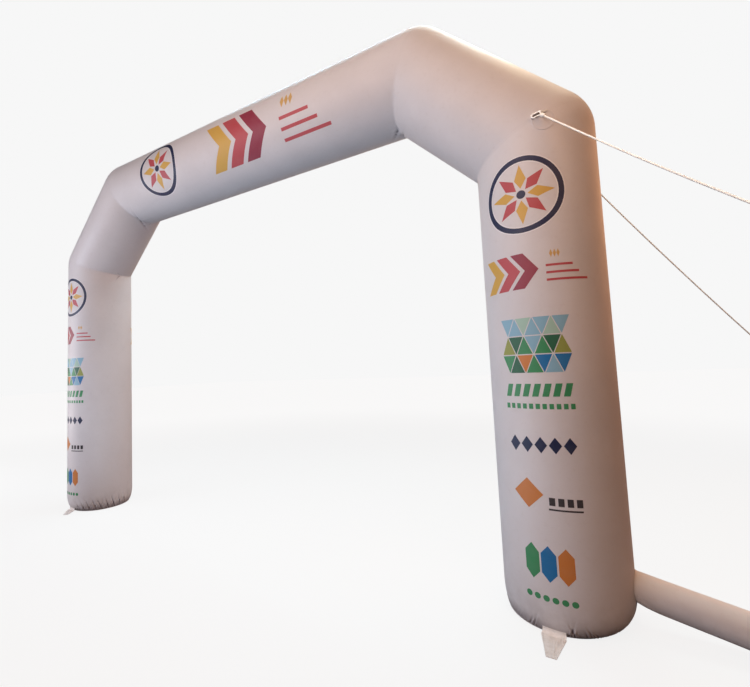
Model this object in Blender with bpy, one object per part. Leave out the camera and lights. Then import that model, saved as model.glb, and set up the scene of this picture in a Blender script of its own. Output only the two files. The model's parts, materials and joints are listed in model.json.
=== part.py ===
"""Inflatable arch for a start or finish line, in metres, +Z up, standing on Z = 0.

Five round air-filled tubes of coated fabric are sewn end to end at mitred seams: leg,
shoulder, beam, shoulder, leg. +X runs from the left leg to the right leg, and the front
of the arch faces -Y. The origin is the middle of the footprint box, on the ground.
"""

import math

import bmesh
import bpy
from mathutils import Matrix, Vector
from mathutils.bvhtree import BVHTree

# The arch: the route of the tubes' axes, and the tube that follows it.
TUBE_RADIUS = 0.375
LEG_SPACING = 5.32
LEG_BEND_HEIGHT = 3.12
BEAM_HEIGHT = 3.93
BEAM_BEND_X = 1.855
ROUND_STEPS = 48

# A mitre: how far the pressed-out fabric rounds the corner, outside and inside the bend.
OUTER_ROUNDING = 0.12
INNER_ROUNDING = 0.012
ROUNDING_FALLOFF = 1.5
ROUNDING_ROWS = 4
MITRE_BACK = 0.0002

# A foot: the tube gathers in to the seam of its base disc, which sits off the leg's axis.
FOOT_GATHER_HEIGHT = 0.165
FOOT_ROWS = 6
FOOT_SEAMS = {
    # leg: mean radius of the seam, how far it sits off the axis, and to where in degrees
    "leg_right": (0.294, 0.060, -138.0),
    "leg_left": (0.314, 0.040, -15.0),
}
BASE_FLANGE = 0.006
BASE_THICKNESS = 0.003
GAP = 0.0003

# Air inlet sleeve: a hemmed fabric tube that runs out and down from the right foot.
SLEEVE_RADIUS = 0.094
SLEEVE_HEIGHT = 0.302
SLEEVE_TURN = math.radians(-6.2)
SLEEVE_DROP = math.radians(10.8)
SLEEVE_REACH = 1.06
SLEEVE_WALL = 0.002
SLEEVE_STEPS = 32
SLEEVE_NECK = 0.020
SLEEVE_NECK_SHARE = 0.20
SLEEVE_HEM = 0.035
SLEEVE_HEM_PROUD = 0.0015
SLEEVE_ROWS = (0.0, 0.04, 0.08, 0.12, 0.16, 0.20, 0.45, 0.70)

# Anchor tabs: each is sewn to its foot just above the ground, hangs down and lies outwards.
TAB_ROOT_WIDTH = 0.125
TAB_TIP_WIDTH = 0.052
TAB_THICKNESS = 0.003
TAB_ARC_STEPS = 6
TAB_ROOT_HEIGHT = 0.034
TAB_BEND = (
    # out from the root and up, for the face towards the foot and the face away from it
    ((0.0, 0.034), (0.003, 0.034)),
    ((0.0, 0.012), (0.003, 0.0135)),
    ((0.0035, 0.0035), (0.006, 0.006)),
    ((0.012, 0.0), (0.0132, 0.003)),
)
ANCHOR_TABS = (
    # node, leg, side of the arch, place round the foot and pointing, in degrees from +X,
    # and how far it runs along the ground
    ("anchor_tab_right", "leg_right", 1, -100.0, -91.0, 0.210),
    ("anchor_tab_left", "leg_left", -1, -92.0, -48.0, 0.160),
)

# Guy points on the right shoulder: a round patch, a webbing tab and an oblong ring.
PATCH_RADIUS = 0.068
PATCH_THICKNESS = 0.002
PATCH_GAP = 0.001
PATCH_RINGS = 5
PATCH_STEPS = 32
RING_LENGTH = 0.066
RING_WIDTH = 0.030
RING_WIRE_RADIUS = 0.004
RING_STAND_OFF = 0.0115
RING_CORNER_RADIUS = 0.005
RING_CORNER_STEPS = 4
WEBBING_WIDTH = 0.012
WEBBING_LENGTH = 0.040
WEBBING_THICKNESS = 0.0018
WEBBING_LAYER_GAP = 0.0006
WEBBING_BEND_STEPS = 12
GUY_POINTS = (
    # name, front is -1 and rear is 1, distance out from the leg's axis, height, tilt,
    # how far the ring sits above the patch's centre
    ("front", -1, 0.092, 3.112, math.radians(-18.0), 0.042),
    ("rear", 1, 0.150, 3.165, math.radians(6.0), 0.030),
)

# Guy ropes: their routes' points, from the middle of the right leg's base.
ROPE_RADIUS = 0.005
ROPE_POINT_SPACING = 0.028
EYE_LENGTH = 0.085
EYE_WIDTH = 0.036
EYE_STEPS = 28
GUY_ROUTES = {
    "front": (
        (0.079, -0.394, 3.133),
        (0.247, -0.528, 2.909),
        (0.417, -0.671, 2.680),
        (0.588, -0.814, 2.456),
        (0.758, -0.956, 2.239),
        (0.843, -1.028, 2.132),
    ),
    "rear": (
        (0.172, 0.366, 3.163),
        (0.340, 0.494, 2.956),
        (0.515, 0.642, 2.739),
        (0.691, 0.789, 2.525),
        (0.867, 0.937, 2.316),
        (1.042, 1.084, 2.111),
        (1.218, 1.232, 1.909),
        (1.420, 1.402, 1.682),
    ),
}


def clear_scene():
    for obj in list(bpy.data.objects):
        bpy.data.objects.remove(obj, do_unlink=True)


def make_material(name, colour, roughness, metallic=0.0):
    material = bpy.data.materials.new(name)
    material.use_nodes = True
    shader = material.node_tree.nodes["Principled BSDF"]
    shader.inputs["Base Color"].default_value = (*colour, 1.0)
    shader.inputs["Roughness"].default_value = roughness
    shader.inputs["Metallic"].default_value = metallic
    return material


def add_object(name, data, parent, material):
    obj = bpy.data.objects.new(name, data)
    data.materials.append(material)
    bpy.context.scene.collection.objects.link(obj)
    obj.parent = parent
    return obj


def add_empty(name, parent=None):
    empty = bpy.data.objects.new(name, None)
    bpy.context.scene.collection.objects.link(empty)
    empty.parent = parent
    return empty


def finish_mesh(name, bm, smooth_angle):
    bmesh.ops.recalc_face_normals(bm, faces=bm.faces)
    mesh = bpy.data.meshes.new(name)
    bm.to_mesh(mesh)
    bm.free()
    mesh.shade_smooth()
    mesh.set_sharp_from_angle(angle=math.radians(smooth_angle))
    return mesh


def join_rings(bm, rings, close=False):
    """Quads between each ring of points and the next one, and back to the first if close."""
    loops = [[bm.verts.new(point) for point in ring] for ring in rings]
    pairs = list(zip(loops, loops[1:]))
    if close:
        pairs.append((loops[-1], loops[0]))
    for low, high in pairs:
        for i in range(len(low)):
            j = (i + 1) % len(low)
            bm.faces.new((low[i], low[j], high[j], high[i]))
    return loops


def round_angles(steps):
    return [math.tau * i / steps for i in range(steps)]


def mitre_rows(angle, bend):
    """(x, y, z) down one generator's end, from where the rounding starts to the seam.

    z is measured from the corner of the tubes' axes, +X is the outer side of the bend, and
    the rounding is an arc that meets the next tube's arc on the seam plane.
    """
    half = bend / 2
    x, y = TUBE_RADIUS * math.cos(angle), TUBE_RADIUS * math.sin(angle)
    share = ((1 + math.cos(angle)) / 2) ** ROUNDING_FALLOFF
    tangent = INNER_ROUNDING + OUTER_ROUNDING * share
    arc_radius = tangent / math.tan(half)
    start = x * math.tan(half) - tangent
    rows = []
    for i in range(ROUNDING_ROWS + 1):
        turn = half * i / ROUNDING_ROWS
        inward = arc_radius * (1 - math.cos(turn))
        rows.append((x - inward, y, start + arc_radius * math.sin(turn)))
    last_x, last_y, last_z = rows[-1]
    rows[-1] = (last_x, last_y, last_z - MITRE_BACK)
    return rows


def seam_radius(name, azimuth):
    """How far the seam of a leg's base disc is from the leg's axis."""
    mean, off, towards = FOOT_SEAMS[name]
    return mean + off * math.cos(azimuth - math.radians(towards))


def foot_rows(angle, name):
    """(x, y, z) down one generator's foot, z measured from the ground and negative."""
    azimuth = angle if name == "leg_right" else math.pi - angle
    inward = TUBE_RADIUS - seam_radius(name, azimuth)
    rows = []
    for i in range(FOOT_ROWS + 1):
        turn = math.pi / 2 * i / FOOT_ROWS
        radius = TUBE_RADIUS - inward * (1 - math.cos(turn))
        depth = FOOT_GATHER_HEIGHT * (1 - math.sin(turn)) + BASE_THICKNESS + GAP
        rows.append((radius * math.cos(angle), radius * math.sin(angle), -depth))
    return rows


def tube_section(name, length, bend_before, bend_after):
    """A tube along +Z from 0 to length. An end with no bend is a foot on the ground."""
    generators = []
    for angle in round_angles(ROUND_STEPS):
        before = mitre_rows(angle, bend_before) if bend_before else foot_rows(angle, name)
        after = mitre_rows(angle, bend_after) if bend_after else foot_rows(angle, name)
        first = [(x, y, -z) for x, y, z in reversed(before)]
        last = [(x, y, length + z) for x, y, z in after]
        generators.append(first + last)
    bm = bmesh.new()
    loops = join_rings(bm, list(zip(*generators)))
    bm.faces.new(loops[0])
    bm.faces.new(loops[-1])
    return finish_mesh(name, bm, 50)


def add_tubes(arch, fabric):
    """The five tubes, from the right foot over the beam to the left foot."""
    half = LEG_SPACING / 2
    corners = (
        Vector((half, 0, 0)),
        Vector((half, 0, LEG_BEND_HEIGHT)),
        Vector((BEAM_BEND_X, 0, BEAM_HEIGHT)),
        Vector((-BEAM_BEND_X, 0, BEAM_HEIGHT)),
        Vector((-half, 0, LEG_BEND_HEIGHT)),
        Vector((-half, 0, 0)),
    )
    names = ("leg_right", "shoulder_right", "beam", "shoulder_left", "leg_left")
    runs = [end - start for start, end in zip(corners, corners[1:])]
    leans = [math.atan2(-run.x, run.z) % math.tau for run in runs]
    bends = [0.0] + [b - a for a, b in zip(leans, leans[1:])] + [0.0]
    for i, name in enumerate(names):
        mesh = tube_section(name, runs[i].length, bends[i], bends[i + 1])
        tube = add_object(name, mesh, arch, fabric)
        tube.location = corners[i]
        tube.rotation_euler = (0, -leans[i], 0)


def add_base(name, leg, side, arch, fabric):
    """The disc under a foot, a little wider than the seam."""
    outline = []
    for azimuth in round_angles(ROUND_STEPS):
        radius = seam_radius(leg, azimuth) + BASE_FLANGE
        outline.append(radius * Vector((math.cos(azimuth), math.sin(azimuth), 0)))
    raised = [point + Vector((0, 0, BASE_THICKNESS)) for point in outline]
    bm = bmesh.new()
    low, high = join_rings(bm, (outline, raised))
    bm.faces.new(low)
    bm.faces.new(high)
    base = add_object(name, finish_mesh(name, bm, 50), arch, fabric)
    base.location = (side * LEG_SPACING / 2, 0, 0)


def add_anchor_tab(name, leg, side, place, pointing, run, arch, fabric):
    """A tapered tab: sewn to the foot along its root, then down and out along the ground."""
    centre = math.radians(place)
    sine = 1 - (TAB_ROOT_HEIGHT - BASE_THICKNESS - GAP) / FOOT_GATHER_HEIGHT

    def root_radius(azimuth):
        inward = TUBE_RADIUS - seam_radius(leg, azimuth)
        return TUBE_RADIUS - inward * (1 - math.sqrt(1 - sine**2)) + 5 * GAP

    half_angle = TAB_ROOT_WIDTH / 2 / root_radius(centre)
    along = Vector((math.cos(math.radians(pointing)), math.sin(math.radians(pointing)), 0))
    across = Vector((-along.y, along.x, 0))
    angles = [centre + half_angle * (2 * i / TAB_ARC_STEPS - 1) for i in range(TAB_ARC_STEPS + 1)]

    def face(row, side_of_it):
        out, up = row[side_of_it]
        points = []
        for angle in angles:
            radius = root_radius(angle) + out
            points.append(Vector((radius * math.cos(angle), radius * math.sin(angle), up)))
        return points

    rings = [face(row, 0) + face(row, 1)[::-1] for row in TAB_BEND]
    reach = root_radius(centre) + TAB_BEND[-1][0][0]
    foot_of_bend = reach * Vector((math.cos(centre), math.sin(centre), 0))
    tip = foot_of_bend + run * along
    last = [
        tip + across * TAB_TIP_WIDTH * (i / TAB_ARC_STEPS - 0.5) for i in range(TAB_ARC_STEPS + 1)
    ]
    top = [point + Vector((0, 0, TAB_THICKNESS)) for point in last]
    rings.append(last + top[::-1])
    bm = bmesh.new()
    loops = join_rings(bm, rings)
    bm.faces.new(loops[0])
    bm.faces.new(loops[-1])
    tab = add_object(name, finish_mesh(name, bm, 30), arch, fabric)
    tab.location = (side * LEG_SPACING / 2, 0, 0)


def sleeve_axes():
    """The sleeve's own frame: +Z out along it, +X level, +Y up and square to both."""
    out = Vector(
        (
            math.cos(SLEEVE_TURN) * math.cos(SLEEVE_DROP),
            math.sin(SLEEVE_TURN) * math.cos(SLEEVE_DROP),
            -math.sin(SLEEVE_DROP),
        )
    )
    level = Vector((0, 0, 1)).cross(out).normalized()
    return Matrix((level, out.cross(level), out)).transposed()


def reach_leg(axes, start):
    """How far along the sleeve a line from start meets the leg's surface."""
    line, out = axes @ start, axes.col[2]
    a = out.x**2 + out.y**2
    b = line.x * out.x + line.y * out.y
    c = line.x**2 + line.y**2 - (TUBE_RADIUS + GAP) ** 2
    return (-b + math.sqrt(b * b - a * c)) / a


def sleeve_generator(axes, angle, inside):
    """Points along one line of the sleeve's outer or inner face, from leg to mouth."""
    below = (1 - math.sin(angle)) / 2
    x, y = math.cos(angle), math.sin(angle)
    wall = SLEEVE_WALL if inside else 0.0

    def radius(share):
        left = max(0.0, 1 - share / SLEEVE_NECK_SHARE)
        return SLEEVE_RADIUS - SLEEVE_NECK * below * left**2 - wall

    first = reach_leg(axes, Vector((radius(0) * x, radius(0) * y, 0)))
    straight = SLEEVE_REACH - SLEEVE_HEM - first
    places = [(radius(share), first + straight * share) for share in SLEEVE_ROWS]
    full = SLEEVE_RADIUS - wall
    hem = full if inside else full + SLEEVE_HEM_PROUD
    places += [(full, SLEEVE_REACH - SLEEVE_HEM)]
    places += [(hem, SLEEVE_REACH - SLEEVE_HEM + SLEEVE_HEM_PROUD), (hem, SLEEVE_REACH)]
    return [(r * x, r * y, z) for r, z in places]


def add_sleeve(arch, fabric):
    axes = sleeve_axes()
    angles = round_angles(SLEEVE_STEPS)
    outer = zip(*[sleeve_generator(axes, angle, False) for angle in angles])
    inner = zip(*[sleeve_generator(axes, angle, True) for angle in angles])
    bm = bmesh.new()
    join_rings(bm, list(outer) + list(inner)[::-1], close=True)
    sleeve = add_object("inlet_sleeve", finish_mesh("inlet_sleeve", bm, 40), arch, fabric)
    sleeve.location = (LEG_SPACING / 2, 0, SLEEVE_HEIGHT)
    sleeve.rotation_euler = axes.to_euler()


def arch_surface(arch):
    """What lies under the guy points: the right leg and shoulder, in the arch's frame."""
    bpy.context.view_layer.update()
    points, faces = [], []
    for name in ("leg_right", "shoulder_right"):
        tube = bpy.data.objects[name]
        place = arch.matrix_world.inverted() @ tube.matrix_world
        start = len(points)
        points += [place @ vertex.co for vertex in tube.data.vertices]
        faces += [[start + i for i in face.vertices] for face in tube.data.polygons]
    return BVHTree.FromPolygons(points, faces)


def add_guy_frame(name, side, out, height, tilt, surface, arch):
    """An empty on the tube's surface: +Z straight out, +X towards the middle of the arch."""
    start = Vector((LEG_SPACING / 2 + out, side * 2 * TUBE_RADIUS, height))
    point = surface.ray_cast(start, Vector((0, -side, 0)))[0]
    normal = Vector((out, point.y, 0)).normalized()
    up = Vector((0, 0, 1))
    inward = Vector((-normal.y * side, normal.x * side, 0))
    inward = inward if inward.x < 0 else -inward
    across = normal.cross(inward)
    frame = add_empty(f"guy_frame_{name}", arch)
    turned = Matrix.Rotation(tilt * (1 if across.dot(up) > 0 else -1), 3, "Z")
    axes = Matrix((inward, across, normal)).transposed() @ turned
    frame.location = point
    frame.rotation_euler = axes.to_euler()
    return frame


def add_patch(name, frame, surface, arch, fabric):
    """A round patch laid on the tube, following its curve."""
    bpy.context.view_layer.update()
    place = arch.matrix_world.inverted() @ frame.matrix_world
    back = place.inverted()
    out = place.to_3x3().col[2]
    lift = TUBE_RADIUS / 2

    def laid(radius, angle, height):
        start = place @ Vector((radius * math.cos(angle), radius * math.sin(angle), lift))
        hit = surface.ray_cast(start, -out)[0]
        return back @ (hit + height * out)

    low, high = PATCH_GAP, PATCH_GAP + PATCH_THICKNESS
    radii = [PATCH_RADIUS * (i + 1) / PATCH_RINGS for i in range(PATCH_RINGS)]
    angles = round_angles(PATCH_STEPS)
    under = [[laid(radius, angle, low) for angle in angles] for radius in radii]
    over = [[laid(radius, angle, high) for angle in angles] for radius in radii]
    bm = bmesh.new()
    loops = join_rings(bm, under + over[::-1])
    for loop, height in ((loops[0], low), (loops[-1], high)):
        middle = bm.verts.new(laid(0, 0, height))
        for i in range(PATCH_STEPS):
            bm.faces.new((loop[i], loop[(i + 1) % PATCH_STEPS], middle))
    add_object(name, finish_mesh(name, bm, 40), frame, fabric)


def closed_tube(name, points, radius, resolution):
    """A closed round cord or wire through these points."""
    curve = bpy.data.curves.new(name, "CURVE")
    curve.dimensions = "3D"
    curve.bevel_depth = radius
    curve.bevel_resolution = resolution
    spline = curve.splines.new("POLY")
    spline.points.add(len(points) - 1)
    for target, point in zip(spline.points, points):
        target.co = (*point, 1)
    spline.use_cyclic_u = True
    return curve


def add_ring(name, rise, frame, material):
    """An oblong wire ring, flat over the patch, with one end bar at the patch's middle."""
    reach = RING_LENGTH / 2 - RING_WIRE_RADIUS - RING_CORNER_RADIUS
    half = RING_WIDTH / 2 - RING_WIRE_RADIUS - RING_CORNER_RADIUS
    corners = ((reach, half), (-reach, half), (-reach, -half), (reach, -half))
    points = []
    for quarter, (x, y) in enumerate(corners):
        for i in range(RING_CORNER_STEPS + 1):
            angle = math.pi / 2 * (quarter + i / RING_CORNER_STEPS)
            turned = RING_CORNER_RADIUS * Vector((math.cos(angle), math.sin(angle)))
            points.append((x + turned.x, y + turned.y, 0))
    curve = closed_tube(name, points, RING_WIRE_RADIUS, 2)
    ring = add_object(name, curve, frame, material)
    ring.location = (RING_LENGTH / 2 - RING_WIRE_RADIUS, rise, RING_STAND_OFF)


def touch_angle(x, z, radius, side):
    """Where a straight run from this point touches a circle round the origin."""
    return math.atan2(z, x) % math.tau + side * math.acos(radius / math.hypot(x, z))


def webbing_path():
    """(x, z) along the strip: in on the patch, round the ring's end bar and back on itself."""
    fold = RING_WIRE_RADIUS + GAP + WEBBING_THICKNESS / 2
    low = PATCH_GAP + PATCH_THICKNESS + GAP + WEBBING_THICKNESS / 2
    high = low + WEBBING_THICKNESS + WEBBING_LAYER_GAP
    enter, leave = -2 * fold, -3 * fold
    first = touch_angle(enter, low - RING_STAND_OFF, fold, 1) - math.tau
    last = touch_angle(leave, high - RING_STAND_OFF, fold, -1)
    path = [(-WEBBING_LENGTH, low), (enter, low)]
    for i in range(WEBBING_BEND_STEPS + 1):
        angle = first + (last - first) * i / WEBBING_BEND_STEPS
        path.append((fold * math.cos(angle), RING_STAND_OFF + fold * math.sin(angle)))
    return path + [(leave, high), (-WEBBING_LENGTH, high)]


def add_webbing_tab(name, rise, frame, fabric):
    """A strip of webbing folded round the ring's end bar and sewn down on the patch."""
    path = webbing_path()
    half = WEBBING_THICKNESS / 2
    left, right = [], []
    for i, (x, z) in enumerate(path):
        before, after = path[max(i - 1, 0)], path[min(i + 1, len(path) - 1)]
        run = Vector((after[0] - before[0], after[1] - before[1])).normalized()
        left.append((x - run.y * half, z + run.x * half))
        right.append((x + run.y * half, z - run.x * half))
    bm = bmesh.new()
    outline = left + right[::-1]
    near = [bm.verts.new((x, -WEBBING_WIDTH / 2, z)) for x, z in outline]
    far = [bm.verts.new((x, WEBBING_WIDTH / 2, z)) for x, z in outline]
    bm.faces.new(near)
    bm.faces.new(far[::-1])
    for i in range(len(outline)):
        j = (i + 1) % len(outline)
        bm.faces.new((near[i], near[j], far[j], far[i]))
    tab = add_object(name, finish_mesh(name, bm, 40), frame, fabric)
    tab.location = (0, rise, 0)


def smooth_route(knots):
    """Evenly spaced points on a Catmull-Rom curve through the knots."""
    knots = [Vector(knot) for knot in knots]
    padded = [2 * knots[0] - knots[1], *knots, 2 * knots[-1] - knots[-2]]
    fine = []
    for a, b, c, d in zip(padded, padded[1:], padded[2:], padded[3:]):
        for step in range(20):
            t = step / 20
            bend = (2 * a - 5 * b + 4 * c - d) * t * t + (3 * b - a - 3 * c + d) * t**3
            fine.append((2 * b + (c - a) * t + bend) / 2)
    fine.append(knots[-1])
    gone = [0.0]
    for p, q in zip(fine, fine[1:]):
        gone.append(gone[-1] + (q - p).length)
    count = round(gone[-1] / ROPE_POINT_SPACING)
    even, place = [], 0
    for i in range(count + 1):
        wanted = gone[-1] * i / count
        while place < len(gone) - 2 and gone[place + 1] < wanted:
            place += 1
        share = (wanted - gone[place]) / (gone[place + 1] - gone[place])
        even.append(fine[place].lerp(fine[place + 1], share))
    return even


def add_rope(name, route, arch, material):
    points = smooth_route(route)
    curve = bpy.data.curves.new(name, "CURVE")
    curve.dimensions = "3D"
    curve.bevel_depth = ROPE_RADIUS
    curve.bevel_resolution = 2
    curve.use_fill_caps = True
    spline = curve.splines.new("POLY")
    spline.points.add(len(points) - 1)
    for target, point in zip(spline.points, points):
        target.co = (*point, 1)
    rope = add_object(name, curve, arch, material)
    rope.location = (LEG_SPACING / 2, 0, 0)
    return points[-1], (points[-1] - points[-2]).normalized()


def add_eye(name, end, along, arch, material):
    """The tied loop at the rope's outer end, as a long closed eye in line with the rope."""
    level = Vector((0, 0, 1)).cross(along).normalized()
    side = EYE_WIDTH / 2 - ROPE_RADIUS
    half = EYE_LENGTH / 2
    centre = end + along * (half + 2 * ROPE_RADIUS + GAP)
    points = []
    for angle in round_angles(EYE_STEPS):
        points.append(centre + along * half * math.cos(angle) + level * side * math.sin(angle))
    eye = add_object(name, closed_tube(name, points, ROPE_RADIUS, 2), arch, material)
    eye.location = (LEG_SPACING / 2, 0, 0)


def add_guy_point(name, side, out, height, tilt, rise, surface, arch, finishes):
    frame = add_guy_frame(name, side, out, height, tilt, surface, arch)
    across_up = frame.rotation_euler.to_matrix().col[1].z
    rise = math.copysign(rise, across_up)
    add_patch(f"guy_patch_{name}", frame, surface, arch, finishes["fabric"])
    add_webbing_tab(f"guy_tab_{name}", rise, frame, finishes["webbing"])
    add_ring(f"guy_ring_{name}", rise, frame, finishes["ring"])
    end, along = add_rope(f"guy_rope_{name}", GUY_ROUTES[name], arch, finishes["rope"])
    add_eye(f"guy_eye_{name}", end, along, arch, finishes["rope"])


def centre_on_footprint(arch):
    """Moves the arch so that the box round all but its ropes stands centred on the origin."""
    bpy.context.view_layer.update()
    graph = bpy.context.evaluated_depsgraph_get()
    corners = []
    for obj in bpy.context.scene.objects:
        if obj.type == "EMPTY" or obj.name.startswith(("guy_rope", "guy_eye")):
            continue
        held = obj.evaluated_get(graph)
        mesh = held.to_mesh()
        corners += [held.matrix_world @ vertex.co for vertex in mesh.vertices]
        held.to_mesh_clear()
    for axis in (0, 1):
        values = [corner[axis] for corner in corners]
        arch.location[axis] = -(min(values) + max(values)) / 2


def main():
    clear_scene()
    finishes = {
        "fabric": make_material("coated_fabric", (0.78, 0.76, 0.77), 0.5),
        "webbing": make_material("webbing", (0.80, 0.78, 0.75), 0.7),
        "ring": make_material("ring", (0.85, 0.83, 0.80), 0.35),
        "rope": make_material("rope", (0.88, 0.85, 0.80), 0.8),
    }
    arch = add_empty("arch")
    add_tubes(arch, finishes["fabric"])
    add_base("base_right", "leg_right", 1, arch, finishes["fabric"])
    add_base("base_left", "leg_left", -1, arch, finishes["fabric"])
    add_sleeve(arch, finishes["fabric"])
    for row in ANCHOR_TABS:
        add_anchor_tab(*row, arch, finishes["webbing"])
    surface = arch_surface(arch)
    for row in GUY_POINTS:
        add_guy_point(*row, surface, arch, finishes)
    centre_on_footprint(arch)


main()
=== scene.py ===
"""Inflatable arch: the finish of every piece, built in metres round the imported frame.

Each tube, disc, sleeve, tab, patch, strap, ring and rope is a mesh that stands for its CAD
node. The tubes and the flat prints on them share one surface function, skin(), so that the
prints lie on the cloth wherever it bulges or creases.
"""

import json
import math
import random
from collections import namedtuple

import bmesh
import bpy
import numpy as np
from mathutils import Matrix, Vector
from mathutils.bvhtree import BVHTree

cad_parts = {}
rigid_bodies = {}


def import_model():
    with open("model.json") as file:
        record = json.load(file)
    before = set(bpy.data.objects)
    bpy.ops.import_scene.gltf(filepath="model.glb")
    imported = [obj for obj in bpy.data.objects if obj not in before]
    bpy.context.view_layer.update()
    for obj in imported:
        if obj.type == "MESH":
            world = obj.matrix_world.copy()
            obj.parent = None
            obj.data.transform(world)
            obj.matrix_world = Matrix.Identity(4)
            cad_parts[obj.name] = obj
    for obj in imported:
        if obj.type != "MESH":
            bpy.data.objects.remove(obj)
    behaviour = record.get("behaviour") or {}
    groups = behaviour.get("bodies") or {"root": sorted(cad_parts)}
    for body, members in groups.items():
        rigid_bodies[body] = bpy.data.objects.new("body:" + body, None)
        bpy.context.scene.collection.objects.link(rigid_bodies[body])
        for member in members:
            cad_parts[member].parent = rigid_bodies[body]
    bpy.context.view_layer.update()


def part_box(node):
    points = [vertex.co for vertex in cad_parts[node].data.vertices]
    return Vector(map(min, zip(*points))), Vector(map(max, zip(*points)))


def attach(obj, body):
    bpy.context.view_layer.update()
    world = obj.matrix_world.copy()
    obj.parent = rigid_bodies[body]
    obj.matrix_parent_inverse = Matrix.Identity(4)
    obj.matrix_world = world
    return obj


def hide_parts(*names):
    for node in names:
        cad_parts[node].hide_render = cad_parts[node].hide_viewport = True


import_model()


# The arch: where its legs stand, and the route and size of its tubes.
BEAM_LOW, BEAM_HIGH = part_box("beam")
TUBE_RADIUS = (BEAM_HIGH.y - BEAM_LOW.y) / 2
AXIS_Y = (BEAM_HIGH.y + BEAM_LOW.y) / 2
RIGHT_FOOT = Vector((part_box("leg_right")[1].x - TUBE_RADIUS, AXIS_Y, 0))
LEFT_FOOT = Vector((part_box("leg_left")[0].x + TUBE_RADIUS, AXIS_Y, 0))
MIDDLE = (RIGHT_FOOT + LEFT_FOOT) / 2
HALF_SPACING = (RIGHT_FOOT.x - LEFT_FOOT.x) / 2
LEG_BEND_HEIGHT = 3.12
BEAM_HEIGHT = BEAM_HIGH.z - TUBE_RADIUS
BEAM_BEND_X = 1.855

# Points nearer than this are one point.
WELD = 1e-6

# How finely the tubes are meshed.
LEG_STEPS = 800
UPPER_STEPS = 384
STRAIGHT_STEP = 0.090
NEAR_SEAM_STEP = 0.008
NEAR_SEAM = 0.16

# A mitre: how far the pressed-out cloth rounds the corner, outside and inside the bend.
OUTER_ROUNDING = 0.12
INNER_ROUNDING = 0.012
ROUNDING_FALLOFF = 1.5
ROUNDING_ROWS = 16
SEAM_HALF_GAP = 0.0002
SEAM_GROOVE = 0.0004
SEAM_GROOVE_WIDTH = 0.006
FAR_FROM_SEAM = 0.05

# A foot: the tube gathers in to the seam of its base disc, which sits off the leg's axis.
FOOT_GATHER_HEIGHT = 0.165
FOOT_SEAM_HEIGHT = 0.0033
FOOT_ROWS = 34
FOOT_SEAMS = {
    # leg: mean radius of the seam, how far it sits off the axis, and to where in degrees
    "leg_right": (0.294, 0.060, -138.0),
    "leg_left": (0.314, 0.040, -15.0),
}

# The main gathers of the feet, listed one by one; lesser ones fill the rest of the seam.
Gather = namedtuple("Gather", "at width depth height lean")
MAIN_GATHERS = {
    "leg_right": (
        # degrees from +X, half width in degrees, depth, height, lean in degrees
        Gather(-124.0, 0.8, 0.005, 0.050, 5.0),
        Gather(-119.5, 0.7, 0.006, 0.060, 4.0),
        Gather(-115.0, 0.7, 0.004, 0.035, -2.0),
        Gather(-89.4, 0.7, 0.006, 0.045, 5.0),
        Gather(-86.0, 0.7, 0.009, 0.060, 2.0),
        Gather(-82.4, 0.8, 0.010, 0.058, -3.0),
        Gather(-78.6, 0.7, 0.007, 0.042, -7.0),
        Gather(-75.2, 0.6, 0.004, 0.030, -5.0),
        Gather(-71.0, 0.7, 0.006, 0.045, -3.0),
        Gather(-67.0, 0.7, 0.008, 0.055, -4.0),
        Gather(-62.6, 0.7, 0.008, 0.048, -7.0),
        Gather(-58.6, 0.7, 0.007, 0.052, -9.0),
        Gather(-53.0, 0.6, 0.003, 0.040, -6.0),
    ),
    "leg_left": (
        Gather(-76.0, 1.1, 0.005, 0.060, 3.0),
        Gather(-70.0, 1.0, 0.006, 0.085, -4.0),
        Gather(-64.5, 1.0, 0.006, 0.060, 5.0),
        Gather(-59.0, 1.1, 0.008, 0.095, -5.0),
        Gather(-53.5, 1.0, 0.006, 0.070, 7.0),
        Gather(-48.5, 1.1, 0.009, 0.105, -6.0),
        Gather(-43.0, 1.0, 0.008, 0.080, 6.0),
        Gather(-37.5, 1.1, 0.010, 0.110, -6.0),
        Gather(-32.5, 1.0, 0.008, 0.085, 5.0),
        Gather(-27.0, 1.1, 0.010, 0.105, -8.0),
        Gather(-22.0, 1.0, 0.008, 0.080, 6.0),
        Gather(-16.5, 1.1, 0.010, 0.110, -5.0),
        Gather(-11.0, 1.0, 0.009, 0.090, 6.0),
        Gather(-5.5, 1.1, 0.011, 0.110, -5.0),
        Gather(0.5, 1.0, 0.009, 0.090, 6.0),
        Gather(6.0, 1.1, 0.010, 0.105, -4.0),
        Gather(12.0, 1.0, 0.009, 0.090, 4.0),
        Gather(18.0, 1.1, 0.009, 0.095, -4.0),
    ),
}
LESSER_GATHERS = 60
LESSER_GATHER_DEPTH = (0.0010, 0.0035)
LESSER_GATHER_HEIGHT = (0.015, 0.045)
LESSER_GATHER_WIDTH = (0.6, 1.0)

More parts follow.
